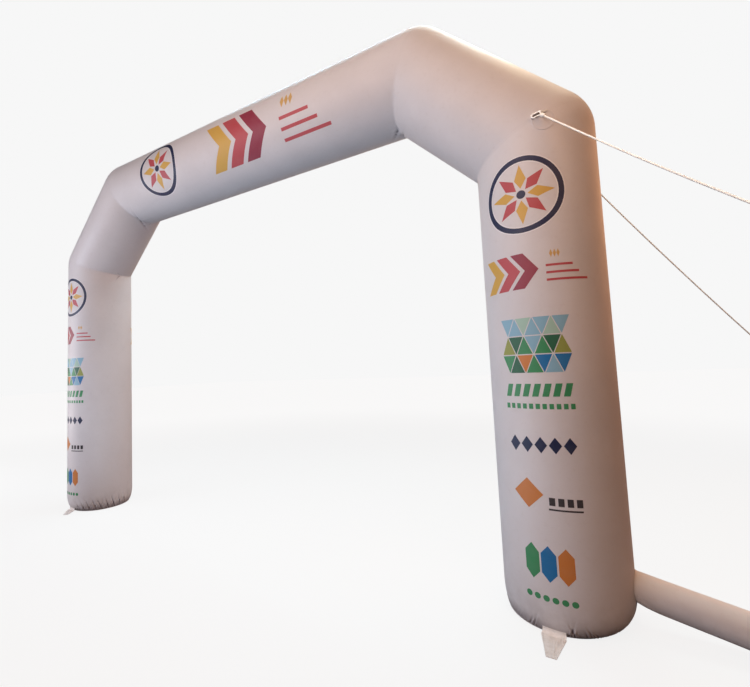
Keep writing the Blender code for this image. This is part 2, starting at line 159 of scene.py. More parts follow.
# Creases that run out from the inner corners of the bends.
Crease = namedtuple("Crease", "end at width depth length lean")
CREASES = {
    "shoulder_right": (
        # end of the tube, degrees round it from the outer side, width, depth, length, lean
        Crease("after", 172.0, 4.0, 0.005, 0.07, 18.0),
        Crease("after", -166.0, 3.0, 0.003, 0.05, -22.0),
        Crease("before", 176.0, 3.2, 0.003, 0.05, 14.0),
    ),
    "beam": (
        Crease("before", -171.0, 4.0, 0.005, 0.09, -20.0),
        Crease("before", 168.0, 3.2, 0.003, 0.06, 16.0),
        Crease("after", -168.0, 4.0, 0.004, 0.09, 22.0),
        Crease("after", 175.0, 3.0, 0.003, 0.06, -10.0),
    ),
    "shoulder_left": (
        Crease("before", -170.0, 4.5, 0.005, 0.10, -24.0),
        Crease("before", 164.0, 3.4, 0.003, 0.07, 15.0),
        Crease("after", 173.0, 3.0, 0.003, 0.05, 12.0),
    ),
    "leg_right": (Crease("after", -174.0, 3.2, 0.004, 0.08, -12.0),),
    "leg_left": (Crease("before", 174.0, 3.2, 0.004, 0.09, 12.0),),
}

# The base discs and the ground tabs.
BASE_THICKNESS = 0.0028
FLANGE = {"leg_right": 0.006, "leg_left": 0.009}
BASE_STEPS = 180
GAP = 0.0003
TAB_ROOT_WIDTH = 0.125
TAB_TIP_WIDTH = 0.052
TAB_ROOT_HEIGHT = 0.034
TAB_ROOT_OFF = 0.0015
TAB_BEND_RADIUS = 0.026
TAB_REACH = 0.012
TAB_THICKNESS = 0.0022
TAB_HEM = 0.022
TAB_SLIMNESS = 0.3
TABS = (
    # node, leg, foot, place round the foot and pointing, in degrees from +X, run on the ground
    ("anchor_tab_right", "leg_right", RIGHT_FOOT, -100.0, -91.0, 0.210),
    ("anchor_tab_left", "leg_left", LEFT_FOOT, -92.0, -48.0, 0.160),
)
TAB_ROWS = 90
TAB_COLUMNS = 45
Crinkle = namedtuple("Crinkle", "along across turn length width height")
TAB_CRINKLES = (
    # place along 0 to 1 and across -1 to 1, turn from the tab's run, sizes as shares, height
    Crinkle(0.30, 0.45, -0.12, 0.40, 0.025, 0.0030),
    Crinkle(0.12, 0.70, 0.20, 0.18, 0.020, 0.0034),
    Crinkle(0.55, 0.20, 0.10, 0.30, 0.030, 0.0018),
    Crinkle(0.22, -0.35, -0.06, 0.25, 0.035, 0.0017),
    Crinkle(0.75, -0.10, 1.45, 0.12, 0.020, 0.0013),
)

# The air inlet sleeve.
SLEEVE_RADIUS = 0.094
SLEEVE_HEIGHT = 0.302
SLEEVE_TURN = math.radians(-6.2)
SLEEVE_DROP = math.radians(10.8)
SLEEVE_REACH = 1.06
SLEEVE_WALL = 0.0016
SLEEVE_STEPS = 192
SLEEVE_ROWS = 110
SLEEVE_NECK = 0.020
SLEEVE_NECK_SHARE = 0.20
SLEEVE_HEM = 0.035
SLEEVE_HEM_PROUD = 0.0013
SLEEVE_GATHERS = (
    # degrees round the sleeve, where 90 is the top and 180 the front
    Gather(188.0, 2.2, 0.0040, 0.045, 5.0),
    Gather(198.0, 2.4, 0.0060, 0.065, 8.0),
    Gather(207.0, 2.4, 0.0070, 0.080, 10.0),
    Gather(217.0, 2.6, 0.0070, 0.070, 10.0),
    Gather(228.0, 2.8, 0.0060, 0.070, 9.0),
    Gather(242.0, 3.4, 0.0050, 0.060, 6.0),
    Gather(264.0, 4.0, 0.0045, 0.060, -4.0),
    Gather(292.0, 4.5, 0.0045, 0.060, -9.0),
    Gather(325.0, 4.5, 0.0035, 0.050, -6.0),
)

# Guy points: a round patch, a webbing strap and an oblong ring, as in the construction.
PATCH_RADIUS = 0.068
PATCH_STEPS = 96
RING_LENGTH = 0.066
RING_WIDTH = 0.030
RING_WIRE_RADIUS = 0.004
RING_STAND_OFF = 0.0115
# How far the painted shade in the ring's opening is shifted from the ring's middle, the same way as the
# ring sits from the patch's centre.
SLOT_SHADE_RISE = 0.004
RING_CORNER_RADIUS = 0.007
WEBBING_WIDTH = 0.012
WEBBING_LENGTH = 0.040
WEBBING_THICKNESS = 0.0018
GUY_POINTS = (
    # name, front is -1 and rear is 1, distance out from the leg's axis, height, tilt,
    # how far the ring sits above the patch's centre
    ("front", -1, 0.092, 3.112, math.radians(-18.0), 0.042),
    ("rear", 1, 0.150, 3.165, math.radians(6.0), 0.030),
)

# The guy ropes' routes, from the middle of the right foot, as in the construction.
ROPE_RADIUS = 0.005
ROPE_LAY = 0.042
ROPE_GROOVE = 0.0011
ROPE_POINT_SPACING = 0.003
ROPE_STEPS = 24
EYE_LENGTH = 0.085
EYE_WIDTH = 0.036
GUY_ROUTES = {
    "front": (
        (0.079, -0.394, 3.133),
        (0.247, -0.528, 2.909),
        (0.417, -0.671, 2.680),
        (0.588, -0.814, 2.456),
        (0.758, -0.956, 2.239),
        (0.843, -1.028, 2.132),
    ),
    "rear": (
        (0.172, 0.366, 3.163),
        (0.340, 0.494, 2.956),
        (0.515, 0.642, 2.739),
        (0.691, 0.789, 2.525),
        (0.867, 0.937, 2.316),
        (1.042, 1.084, 2.111),
        (1.218, 1.232, 1.909),
        (1.420, 1.402, 1.682),
    ),
}

# The camera stands in front of the right foot and looks left and slightly up.
CAMERA_FROM_FOOT = Vector((0.1723, -3.2085, 1.6094))
CAMERA_TURN = math.radians(31.03)
CAMERA_RISE = math.radians(4.13)
CAMERA_ROLL = math.radians(-2.26)
CAMERA_LENS = 19.93
CAMERA_SHIFT = (0.0639, -0.0045)

# Soft studio light: large panels all round, warm ones by the right leg, cool ones by the beam.
LIGHTS = (
    # name, place, what it faces, (width, height), watts, tint
    ("key_left", (-3.5, -7.5, 4.5), (0.5, 0, 1.5), (6.0, 4.0), 162.0, (1.0, 0.93, 0.96)),
    ("warm_top", (2.6, 1.6, 6.6), (2.0, 0, 3.4), (3.5, 2.0), 74.0, (1.0, 0.86, 0.60)),
    ("cool_far", (-7.0, -2.5, 1.6), (-3.0, 0, 1.0), (3.0, 2.5), 96.0, (1.0, 0.92, 0.90)),
    ("over_beam", (-0.3, 2.5, 7.5), (-0.3, 0, 4.0), (6.0, 2.0), 304.0, (0.52, 0.84, 1.0)),
    ("warm_front", (5.0, -3.0, 5.5), (2.3, 0, 2.6), (3.0, 3.0), 71.0, (1.0, 0.54, 0.27)),
    ("front_top", (1.2, -2.2, 6.0), (1.6, 0, 3.0), (2.5, 2.5), 18.0, (0.98, 1.0, 1.0)),
    ("under_beam", (-0.6, -1.6, 0.5), (-0.3, 0, 3.7), (3.0, 1.5), 30.0, (0.61, 0.80, 1.0)),
    ("blue_far", (-6.0, -5.0, 3.0), (-3.1, 0, 1.4), (2.0, 1.5), 86.0, (0.70, 0.79, 1.0)),
    ("right_back", (5.5, 3.5, 4.0), (2.3, 0, 2.4), (3.0, 3.0), 40.0, (1.0, 0.44, 0.15)),
    ("front_low", (1.0, -4.5, 4.5), (2.2, 0, 3.0), (3.0, 2.0), 58.0, (1.0, 0.68, 0.53)),
)
# White fittings catch more light than the cloth behind them, so one panel lights only them.
FITTINGS_LIGHT = (
    "fittings", (3.6, -3.4, 6.4), (2.6, -0.5, 2.6), (2.0, 2.0), 165.0, (1.0, 0.95, 0.88)
)
FITTINGS = ("rope_", "knot_", "hitch_", "eye_", "whipping_", "ring_", "cloth_anchor_")
# The room itself glows from behind the arch, 10 degrees above level.
ROOM_GLOWS = (
    # degrees from +X, tone
    (45.0, (0.204, 0.0, 0.0)),
    (90.0, (1.034, 0.730, 0.552)),
)
ROOM_GLOW_HEIGHT = math.radians(10.0)
ROOM_GLOW_SHARPNESS = 3.0
BACKDROP_TONE = (0.93, 0.93, 0.93)
FLOOR_SIZE = 60.0
FLOOR_TONE = (0.21, 0.20, 0.22)
# What the camera sees of the floor: its glow near the arch and far off, and where it changes.
FLOOR_GLOWS = (0.84, 0.925)
FLOOR_GLOW_REACH = (4.0, 14.0)
FLOOR_SEEN_TONE = (0.12, 0.12, 0.12)


# ---------------------------------------------------------------- helpers


def link(obj):
    bpy.context.scene.collection.objects.link(obj)
    return obj


def declare(obj, slot, *nodes):
    """The piece rides on the arch and stands for these nodes, which are hidden. slot is not used."""
    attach(obj, "root")
    if nodes:
        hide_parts(*nodes)


def add_piece(name, mesh, material, slot, *nodes):
    mesh.materials.append(material)
    obj = link(bpy.data.objects.new(name, mesh))
    declare(obj, slot, *nodes)
    return obj


def mesh_of(bm, name):
    """A bmesh as a mesh with its faces turned outwards."""
    bmesh.ops.recalc_face_normals(bm, faces=bm.faces)
    mesh = bpy.data.meshes.new(name)
    bm.to_mesh(mesh)
    bm.free()
    return mesh


def smoothstep(low, high, value):
    share = np.clip((value - low) / (high - low), 0.0, 1.0)
    return share * share * (3 - 2 * share)


def grid_mesh(name, grid, uv, fields, wrap=True, caps=True, sharp=50):
    """A mesh over rows x columns of points. uv and fields have a value at each point.

    With wrap the columns close into a ring, and uv has one column more than the points.
    """
    rows, columns = grid.shape[:2]
    last = columns if wrap else columns - 1
    across = np.arange(last)
    beside = (across + 1) % columns
    faces = []
    corner_uv = []
    for row in range(rows - 1):
        low, high = row * columns, (row + 1) * columns
        faces.append(np.stack([low + across, low + beside, high + beside, high + across], 1))
        corner_uv.append(
            np.stack(
                [uv[row, across], uv[row, across + 1], uv[row + 1, across + 1], uv[row + 1, across]],
                1,
            )
        )
    faces = np.concatenate(faces).tolist()
    corner_uv = np.concatenate(corner_uv).reshape(-1, 2)
    if wrap and caps:
        faces.append(list(range(columns))[::-1])
        faces.append([(rows - 1) * columns + i for i in range(columns)])
        extra = np.concatenate([uv[0, :columns][::-1], uv[-1, :columns]])
        corner_uv = np.concatenate([corner_uv, extra])
    mesh = bpy.data.meshes.new(name)
    mesh.from_pydata(grid.reshape(-1, 3).tolist(), [], faces)
    layer = mesh.uv_layers.new(name="metres")
    layer.data.foreach_set("uv", corner_uv.astype(np.float32).ravel())
    for field, values in fields.items():
        attribute = mesh.attributes.new(field, "FLOAT", "POINT")
        attribute.data.foreach_set("value", values.astype(np.float32).ravel())
    mesh.shade_smooth()
    mesh.set_sharp_from_angle(angle=math.radians(sharp))
    return mesh


def facing_out(mesh):
    """Turns a closed mesh's faces outwards."""
    bm = bmesh.new()
    bm.from_mesh(mesh)
    bmesh.ops.recalc_face_normals(bm, faces=bm.faces)
    bm.to_mesh(mesh)
    bm.free()
    return mesh


# ---------------------------------------------------------------- the tubes' surface

Tube = namedtuple("Tube", "name place length before after steps")


def make_tubes():
    """The five tubes from the right foot to the left foot, each with the bend at its ends.

    In a tube's own frame +Z runs along it and +X is the outer side of the bends.
    """
    corners = (
        MIDDLE + Vector((HALF_SPACING, 0, 0)),
        MIDDLE + Vector((HALF_SPACING, 0, LEG_BEND_HEIGHT)),
        MIDDLE + Vector((BEAM_BEND_X, 0, BEAM_HEIGHT)),
        MIDDLE + Vector((-BEAM_BEND_X, 0, BEAM_HEIGHT)),
        MIDDLE + Vector((-HALF_SPACING, 0, LEG_BEND_HEIGHT)),
        MIDDLE + Vector((-HALF_SPACING, 0, 0)),
    )
    names = ("leg_right", "shoulder_right", "beam", "shoulder_left", "leg_left")
    runs = [end - start for start, end in zip(corners, corners[1:])]
    leans = [math.atan2(-run.x, run.z) % math.tau for run in runs]
    bends = [0.0] + [b - a for a, b in zip(leans, leans[1:])] + [0.0]
    tubes = {}
    for i, name in enumerate(names):
        place = Matrix.Translation(corners[i]) @ Matrix.Rotation(-leans[i], 4, "Y")
        steps = LEG_STEPS if name.startswith("leg") else UPPER_STEPS
        tubes[name] = Tube(name, place, runs[i].length, bends[i], bends[i + 1], steps)
    return tubes


def mitre_start(angle, bend):
    """How far past the corner of the axes the rounding starts, and its length as tangent."""
    share = ((1 + np.cos(angle)) / 2) ** ROUNDING_FALLOFF
    tangent = INNER_ROUNDING + OUTER_ROUNDING * share
    return TUBE_RADIUS * np.cos(angle) * math.tan(bend / 2) - tangent, tangent


def mitre_rows(angle, bend):
    """Rows (x, y, z) from the start of the rounding to the seam, z from the axes' corner."""
    half = bend / 2
    start, tangent = mitre_start(angle, bend)
    arc_radius = tangent / math.tan(half)
    rows = []
    for i in range(ROUNDING_ROWS + 1):
        turn = half * i / ROUNDING_ROWS
        x = TUBE_RADIUS * np.cos(angle) - arc_radius * (1 - math.cos(turn))
        z = start + arc_radius * math.sin(turn)
        rows.append(np.stack([x, TUBE_RADIUS * np.sin(angle), z], 1))
    rows[-1][:, 2] -= SEAM_HALF_GAP
    return rows


def seam_radius(leg, azimuth):
    """How far the seam of a leg's base disc is from the leg's axis."""
    mean, off, towards = FOOT_SEAMS[leg]
    return mean + off * np.cos(azimuth - math.radians(towards))


def foot_rows(angle, name):
    """Rows (x, y, z) down the foot, z from the ground and negative."""
    azimuth = angle if name == "leg_right" else math.pi - angle
    inward = TUBE_RADIUS - seam_radius(name, azimuth)
    rows = []
    for i in range(FOOT_ROWS + 1):
        turn = math.pi / 2 * i / FOOT_ROWS
        radius = TUBE_RADIUS - inward * (1 - math.cos(turn))
        depth = FOOT_GATHER_HEIGHT * (1 - math.sin(turn)) + FOOT_SEAM_HEIGHT
        down = np.full_like(angle, -depth)
        rows.append(np.stack([radius * np.cos(angle), radius * np.sin(angle), down], 1))
    return rows


def ups_and_downs(name, angle, z):
    """The slow unevenness of the pressed-out cloth."""
    chance = random.Random(name)
    total = np.zeros_like(angle)
    for turns in (1, 2, 2, 3, 5):
        along = chance.uniform(0.7, 3.2)
        phase = chance.uniform(0, math.tau)
        total = total + np.cos(turns * angle + along * z + phase) / (2 + turns)
    return 0.0011 * total


def waves(seed, angle, counts):
    """Uneven waves round the tube, between about -1 and 1, sharper in their troughs."""
    chance = random.Random(seed)
    total = np.zeros_like(angle)
    for count in counts:
        total = total + np.cos(count * angle + chance.uniform(0, math.tau))
    swell = 0.6 + 0.4 * np.cos(3 * angle + chance.uniform(0, math.tau))
    swell = swell * (0.7 + 0.3 * np.cos(7 * angle + chance.uniform(0, math.tau)))
    value = total / len(counts)
    return swell * np.where(value < 0, value * 1.3, value * 0.7)


def mitre_relief(tube, end, angle, gap):
    """The puckers and the sewn-in groove beside a mitre seam, gap metres from it."""
    inner = ((1 - np.cos(angle)) / 2) ** 2
    size = 0.0006 + 0.0026 * inner
    reach = 0.022 + 0.022 * inner
    rise = 1 - np.exp(-((gap / 0.007) ** 2))
    pucker = waves(f"{tube.name} {end}", angle, (37, 46, 59)) * size
    relief = pucker * np.exp(-gap / reach) * rise
    return relief - SEAM_GROOVE * np.exp(-((gap / SEAM_GROOVE_WIDTH) ** 2))


def wavelet(offset):
    """A trough with a low ridge at each side of it."""
    return -(1 - offset**2) * np.exp(-(offset**2) / 2)


def turned(angle, middle):
    """angle - middle, in degrees between -180 and 180."""
    return (np.degrees(angle) - middle + 180) % 360 - 180


def gathers_of(name):
    chance = random.Random("gathers " + name)
    gathers = list(MAIN_GATHERS[name])
    taken = [gather.at for gather in gathers]
    for i in range(LESSER_GATHERS):
        at = -180 + 360 * (i + chance.uniform(-0.42, 0.42)) / LESSER_GATHERS
        width = chance.uniform(*LESSER_GATHER_WIDTH)
        depth = chance.uniform(*LESSER_GATHER_DEPTH)
        height = chance.uniform(*LESSER_GATHER_HEIGHT)
        lean = chance.uniform(-6, 6)
        if min(abs((at - other + 180) % 360 - 180) for other in taken) > 2.6:
            gathers.append(Gather(at, width, depth, height, lean))
    return gathers


def foot_relief(tube, angle, gap):
    """The gathers above a foot's seam. gap is the distance above the seam."""
    azimuth = angle if tube.name == "leg_right" else math.pi - angle
    total = np.zeros_like(angle)
    for gather in gathers_of(tube.name):
        lean = gather.lean * gap / gather.height
        width = gather.width * (1 + 0.6 * gap / gather.height)
        offset = turned(azimuth, gather.at + lean) / width
        fade = np.exp(-((gap / gather.height) ** 2)) * smoothstep(0.0, 0.010, gap)
        total = total + gather.depth * wavelet(np.clip(offset, -5, 5)) * fade
    return total * tab_calm(tube.name, azimuth, gap)


def tab_calm(leg, azimuth, gap):
    """0 where a tab is sewn to the foot and 1 away from it."""
    calm = np.ones_like(azimuth)
    for _, tab_leg, _, place, _, _ in TABS:
        if tab_leg == leg:
            half = math.degrees(TAB_ROOT_WIDTH / 2 / seam_radius(leg, math.radians(place)))
            beside = smoothstep(half - 1.0, half + 1.0, np.abs(turned(azimuth, place)))
            above = smoothstep(TAB_ROOT_HEIGHT, 1.6 * TAB_ROOT_HEIGHT, gap)
            calm = calm * np.maximum(beside, above)
    return calm


def crease_relief(tube, angle, before, after):
    total = np.zeros_like(angle)
    for crease in CREASES.get(tube.name, ()):
        gap = before if crease.end == "before" else after
        lean = crease.lean * gap / crease.length
        offset = turned(angle, crease.at + lean) / crease.width
        fade = np.exp(-((gap / crease.length) ** 2)) * smoothstep(0.0, 0.006, gap)
        total = total + crease.depth * wavelet(np.clip(offset, -5, 5)) * fade
    return total


def seam_gaps(tube, angle, z):
    """How far a point is from the seam at each end of its tube."""
    if tube.before:
        before = z + TUBE_RADIUS * np.cos(angle) * math.tan(tube.before / 2)
    else:
        before = z - FOOT_SEAM_HEIGHT
    if tube.after:
        after = tube.length + TUBE_RADIUS * np.cos(angle) * math.tan(tube.after / 2) - z
    else:
        after = tube.length - FOOT_SEAM_HEIGHT - z
    return np.maximum(before, 0), np.maximum(after, 0)


def sleeve_calm(tube, angle, z):
    """0 where the sleeve is sewn on and 1 away from it."""
    if tube.name != "leg_right":
        return 1.0
    round_it = np.radians(turned(angle, math.degrees(SLEEVE_TURN))) * TUBE_RADIUS
    distance = np.hypot(round_it, z - SLEEVE_HEIGHT)
    return smoothstep(0.12, 0.30, distance)


def relief(tube, angle, z):
    """How far the cloth stands proud of the plain tube."""
    before, after = seam_gaps(tube, angle, z)
    total = ups_and_downs(tube.name, angle, z) * smoothstep(0.0, 0.08, np.minimum(before, after))
    total = total * sleeve_calm(tube, angle, z)
    for end, bend, gap in (("before", tube.before, before), ("after", tube.after, after)):
        total = total + (
            mitre_relief(tube, end, angle, gap) if bend else foot_relief(tube, angle, gap)
        )
    return total + crease_relief(tube, angle, before, after)


def skin(tube, angle, z, lift=0.0):
    """Points on the straight part of a tube's finished surface, lifted off it by lift."""
    radius = TUBE_RADIUS + relief(tube, angle, z) + lift
    local = np.stack([radius * np.cos(angle), radius * np.sin(angle), z], -1)
    turn = np.array(tube.place.to_3x3())
    return local @ turn.T + np.array(tube.place.translation)


def straight_shares(length):
    """Shares from 0 to 1 along the straight part, close together near both ends."""
    near = [NEAR_SEAM_STEP * i for i in range(int(NEAR_SEAM / NEAR_SEAM_STEP) + 1)]
    inner = length - 2 * NEAR_SEAM
    count = max(2, round(inner / STRAIGHT_STEP))
    wide = [NEAR_SEAM + inner * i / count for i in range(1, count)]
    return np.array(near + wide + [length - x for x in reversed(near)]) / length


def tube_mesh(tube):
    """The tube's finished mesh, with its distances from the seams and its fold depth, for painted shade,
    as fields.
    """
    angle = math.tau * np.arange(tube.steps) / tube.steps
    before = mitre_rows(angle, tube.before) if tube.before else foot_rows(angle, tube.name)
    after = mitre_rows(angle, tube.after) if tube.after else foot_rows(angle, tube.name)
    mirror = np.array([1, 1, -1])
    first = [row * mirror for row in reversed(before)]
    last = [row + np.array([0, 0, tube.length]) for row in after]
    shares = straight_shares(last[0][:, 2].min() - first[-1][:, 2].max())
    between = [first[-1] + (last[0] - first[-1]) * share for share in shares[1:-1]]
    rows = np.array(first + between + last)
    z = rows[..., 2]
    around = np.broadcast_to(angle, z.shape)
    proud = relief(tube, around, z)
    inward_end = np.ones(len(rows))
    inward_end[0] = inward_end[-1] = 0
    outward = np.stack([np.cos(around), np.sin(around), np.zeros_like(z)], -1)
    rows = rows + outward * (proud * inward_end[:, None])[..., None]
    turn = np.array(tube.place.to_3x3())
    points = rows @ turn.T + np.array(tube.place.translation)
    near, far = seam_gaps(tube, around, z)
    slow = ups_and_downs(tube.name, around, z)
    fields = {
        "seam": np.minimum(near, far),
        # fold: how deep the cloth sinks into a crease, which sets the painted shade there
        "fold": np.clip((slow - proud) / 0.006, 0, 1),
    }
    u = TUBE_RADIUS * math.tau * np.arange(tube.steps + 1) / tube.steps
    v = np.concatenate([z, z[:, :1]], 1)
    uv = np.stack([np.broadcast_to(u, v.shape), v], -1)
    return grid_mesh(tube.name, points, uv, fields)


TUBES = make_tubes()


def add_tubes(fabric):
    made = {}
    for name, tube in TUBES.items():
        mesh = facing_out(tube_mesh(tube))
        obj = add_piece("cloth_" + name, mesh, fabric, "coated_fabric", name)
        made[name] = obj
    return made


# ---------------------------------------------------------------- prints on the tubes

PRINT_LIFT = (0.00025, 0.00065)
PRINT_STEPS = (0.012, 0.060)
SEGMENTS = 48


def polygon(*points):
    return [list(points)]


def bar(x, y, width, height, slant=0.0):
    a, b = width / 2, height / 2
    return polygon(
        (x - a - slant, y - b),
        (x + a - slant, y - b),
        (x + a + slant, y + b),
        (x - a + slant, y + b),
    )


def disc(x, y, radius, sides=SEGMENTS):
    turns = [math.tau * i / sides for i in range(sides)]
    return polygon(*((x + radius * math.cos(t), y + radius * math.sin(t)) for t in turns))


def hoop(outer, inner):
    shapes = []
    for i in range(SEGMENTS):
        a, b = math.tau * i / SEGMENTS, math.tau * (i + 1) / SEGMENTS
        ends = ((outer, a), (outer, b), (inner, b), (inner, a))
        shapes.append([(r * math.cos(t), r * math.sin(t)) for r, t in ends])
    return shapes


def rosette_print():
    """A plain hoop round an eight-pointed rosette."""
    hoops = (("white", 0.252, 0.2455), ("navy", 0.245, 0.213), ("white", 0.2125, 0.206))
    rows = [(colour, hoop(outer, inner)) for colour, outer, inner in hoops]
    for i in range(8):
        turn = math.tau * i / 8
        kite = [
            (radius * math.cos(turn + t), radius * math.sin(turn + t))
            for radius, t in ((0.038, 0.0), (0.103, -0.35), (0.192, 0.0), (0.103, 0.35))
        ]
        rows.append((("yellow", "red")[i % 2], [kite]))
    rows.append(("navy", disc(0, 0, 0.027, 24)))
    return rows


def chevron_print():
    """Three broad chevrons."""
    rows = []
    start, gap, thick, point, high = -0.192, 0.028, 0.078, 0.085, 0.112
    for i, colour in enumerate(("yellow", "red", "wine")):
        x = start + i * (thick + gap)
        outline = polygon(
            (x, high),
            (x + thick, high),
            (x + thick + point, 0),
            (x + thick, -high),
            (x, -high),
            (x + point, 0),
        )
        rows.append((colour, outline))
    return rows


def row_of(colour, shape, count, width):
    """count copies of a shape, evenly spaced over a width."""
    rows = []
    for i in range(count):
        x = width * ((i + 0.5) / count - 0.5)
        rows.append((colour, shape(x)))
    return rows


def lozenge(x, width, height):
    return polygon((x - width / 2, 0), (x, -height / 2), (x + width / 2, 0), (x, height / 2))


def gold_print():
    return row_of("gold", lambda x: lozenge(x, 0.018, 0.050), 3, 0.060)


def red_rules_print():
    rows = []
    for y, width in ((0.045, 0.150), (0.0, 0.185), (-0.045, 0.236)):
        rows.append(("red", bar(width / 2 - 0.118, y, width, 0.014)))
    return rows


def harlequin_print():
    """Rows of triangles, point up and point down by turns."""
    colours = (
        ("sky", "sky", "mint", "sky", "sky", "mint", "sky"),
        ("olive", "forest", "green", "sky", "green", "forest", "olive"),
        ("green", "forest", "orange", "green", "blue", "sky", "blue"),
    )
    rows = []
    cell, high, seam = 0.106, 0.116, 0.0035
    half_width, half_height = cell / 2 - 1.7 * seam, high / 2 - seam
    for i, line in enumerate(colours):
        for j, colour in enumerate(line):
            x = cell / 2 * (j - 3)
            y = high * (1 - i)
            way = 1 if (i + j) % 2 else -1
            base, tip = y - way * half_height, y + way * half_height
            triangle = polygon((x - half_width, base), (x + half_width, base), (x, tip))
            rows.append((colour, triangle))
    return rows


def green_slants_print():
    rows = row_of("green", lambda x: bar(x, 0.046, 0.036, 0.078, 0.010), 7, 0.400)
    return rows + row_of("green", lambda x: bar(x, -0.052, 0.024, 0.032), 11, 0.417)


def navy_lozenges_print():
    return row_of("navy", lambda x: lozenge(x, 0.070, 0.098), 5, 0.394)


def diamond_print():
    rows = [("orange", polygon((-0.190, 0.012), (-0.100, -0.078), (-0.010, 0.012), (-0.100, 0.102)))]
    for i in range(4):
        rows.append(("charcoal", bar(0.035 + 0.048 * i, -0.022, 0.032, 0.046)))
    rows.append(("charcoal", bar(0.105, -0.068, 0.180, 0.010)))
    return rows


def hexagons_print():
    rows = []
    a, b, c = 0.042, 0.056, 0.105
    for x, colour in ((-0.094, "green"), (0.0, "blue"), (0.094, "orange")):
        outline = ((x, -c), (x + a, -b), (x + a, b), (x, c), (x - a, b), (x - a, -b))
        rows.append((colour, polygon(*outline)))
    return rows


def green_dots_print():
    return row_of("green", lambda x: disc(x, 0, 0.018, 20), 6, 0.300)


# Where the prints sit on a leg: across from their middle line, and height above the ground.
LEG_PRINTS = (
    (rosette_print, -0.010, 2.667),
    (chevron_print, -0.125, 2.180),
    (gold_print, 0.150, 2.266),
    (red_rules_print, 0.216, 2.150),
    (harlequin_print, -0.004, 1.715),
    (green_slants_print, -0.004, 1.391),
    (navy_lozenges_print, -0.004, 1.107),
    (diamond_print, 0.0, 0.800),
    (hexagons_print, -0.008, 0.410),
    (green_dots_print, -0.010, 0.208),
)
# And on the beam: out from its middle, degrees above level, and size against the leg's.
BEAM_PRINTS = (
    (rosette_print, -0.955, -8.0, 1.20),
    (chevron_print, 0.195, -15.0, 2.03),
    (gold_print, 0.800, 9.0, 2.3),
    (red_rules_print, 0.955, -27.0, 2.05),
)


def slab(bm, points, colour, steps):
    """Adds a flat slab with this outline, cut into pieces that can follow the tube.

    steps are the sizes of the pieces across and up.
    """
    low = bm.faces.new([bm.verts.new((x, y, 0)) for x, y in points])
    low.material_index = colour
    bm.normal_update()
    if low.normal.z < 0:
        low.normal_flip()
    flat = bmesh.ops.triangulate(bm, faces=[low])["faces"]
    for axis, step in enumerate(steps):
        places = [point[axis] for point in points]
        plane = Vector((axis == 0, axis == 1, 0))
        for i in range(math.ceil(min(places) / step), math.floor(max(places) / step) + 1):
            edges = {edge for face in flat for edge in face.edges}
            verts = {vert for face in flat for vert in face.verts}
            cut = bmesh.ops.bisect_plane(
                bm,
                geom=[*flat, *edges, *verts],
                dist=WELD,
                plane_co=plane * i * step,
                plane_no=plane,
            )
            flat = [item for item in cut["geom"] if isinstance(item, bmesh.types.BMFace)]
    raised = bmesh.ops.extrude_face_region(bm, geom=flat)["geom"]
    for item in raised:
        if isinstance(item, bmesh.types.BMVert):
            item.co.z = 1


def add_prints(name, rows, inks, steps, to_surface):
    """rows are (print function, across, up, size); to_surface maps flat arrays to points."""
    bm = bmesh.new()
    colours = sorted(inks)
    for make, across, up, size in rows:
        for colour, shapes in make():
            for points in shapes:
                placed = [(across + size * x, up + size * y) for x, y in points]
                piece = bmesh.new()
                slab(piece, placed, colours.index(colour), steps)
                part = bpy.data.meshes.new(name)
                piece.to_mesh(part)
                piece.free()
                bm.from_mesh(part)
                bpy.data.meshes.remove(part)
    mesh = mesh_of(bm, name)
    flat = np.empty(len(mesh.vertices) * 3)
    mesh.vertices.foreach_get("co", flat)
    flat = flat.reshape(-1, 3)
    lift = np.where(flat[:, 2] > 0.5, PRINT_LIFT[1], PRINT_LIFT[0])
    points = to_surface(flat[:, 0], flat[:, 1], lift)
    corners = np.empty(len(mesh.loops), dtype=int)
    mesh.loops.foreach_get("vertex_index", corners)
    layer = mesh.uv_layers.new(name="metres")
    layer.data.foreach_set("uv", flat[corners, :2].astype(np.float32).ravel())
    mesh.vertices.foreach_set("co", points.ravel())
    facing_out(mesh)
    for colour in colours:
        mesh.materials.append(inks[colour])
    obj = link(bpy.data.objects.new(name, mesh))
    declare(obj, "coated_fabric")


def add_all_prints(inks):
    leg_rows = [(make, across, height, 1.0) for make, across, height in LEG_PRINTS]
    centre_lines = {
        ("leg_right", "front"): -98.5,
        ("leg_right", "rear"): 98.5,
        ("leg_left", "front"): -91.0,
        ("leg_left", "rear"): 91.0,
    }
    for (name, side), line in centre_lines.items():
        tube = TUBES[name]
        right = name == "leg_right"

        def on_leg(across, up, lift, tube=tube, line=line, right=right):
            azimuth = math.radians(line) + across / TUBE_RADIUS
            if right:
                return skin(tube, azimuth, up, lift)
            return skin(tube, math.pi - azimuth, tube.length - up, lift)

        add_prints(f"print_{name}_{side}", leg_rows, inks, PRINT_STEPS, on_leg)
    beam = TUBES["beam"]
    for side, way in (("front", -1), ("rear", 1)):
        rows = []
        for make, out, rise, size in BEAM_PRINTS:
            rows.append((make, out, math.radians(rise) * TUBE_RADIUS, size))

        def on_beam(across, up, lift, way=way):
            angle = way * (math.pi / 2 - up / TUBE_RADIUS)
            return skin(beam, angle, BEAM_BEND_X + way * across, lift)

        add_prints(f"print_beam_{side}", rows, inks, PRINT_STEPS[::-1], on_beam)


# ---------------------------------------------------------------- tubes along a line


def route_frames(points, closed=False):
    """At each point the direction of the line and two directions square to it."""
    count = len(points)
    runs = []
    for i in range(count):
        before = points[i - 1] if closed or i else points[0]
        after = points[(i + 1) % count] if closed or i < count - 1 else points[-1]
        runs.append((after - before).normalized())
    side = runs[0].orthogonal().normalized()
    frames = []
    for run in runs:
        side = (side - run * side.dot(run)).normalized()
        frames.append((run, side, run.cross(side)))
    return frames


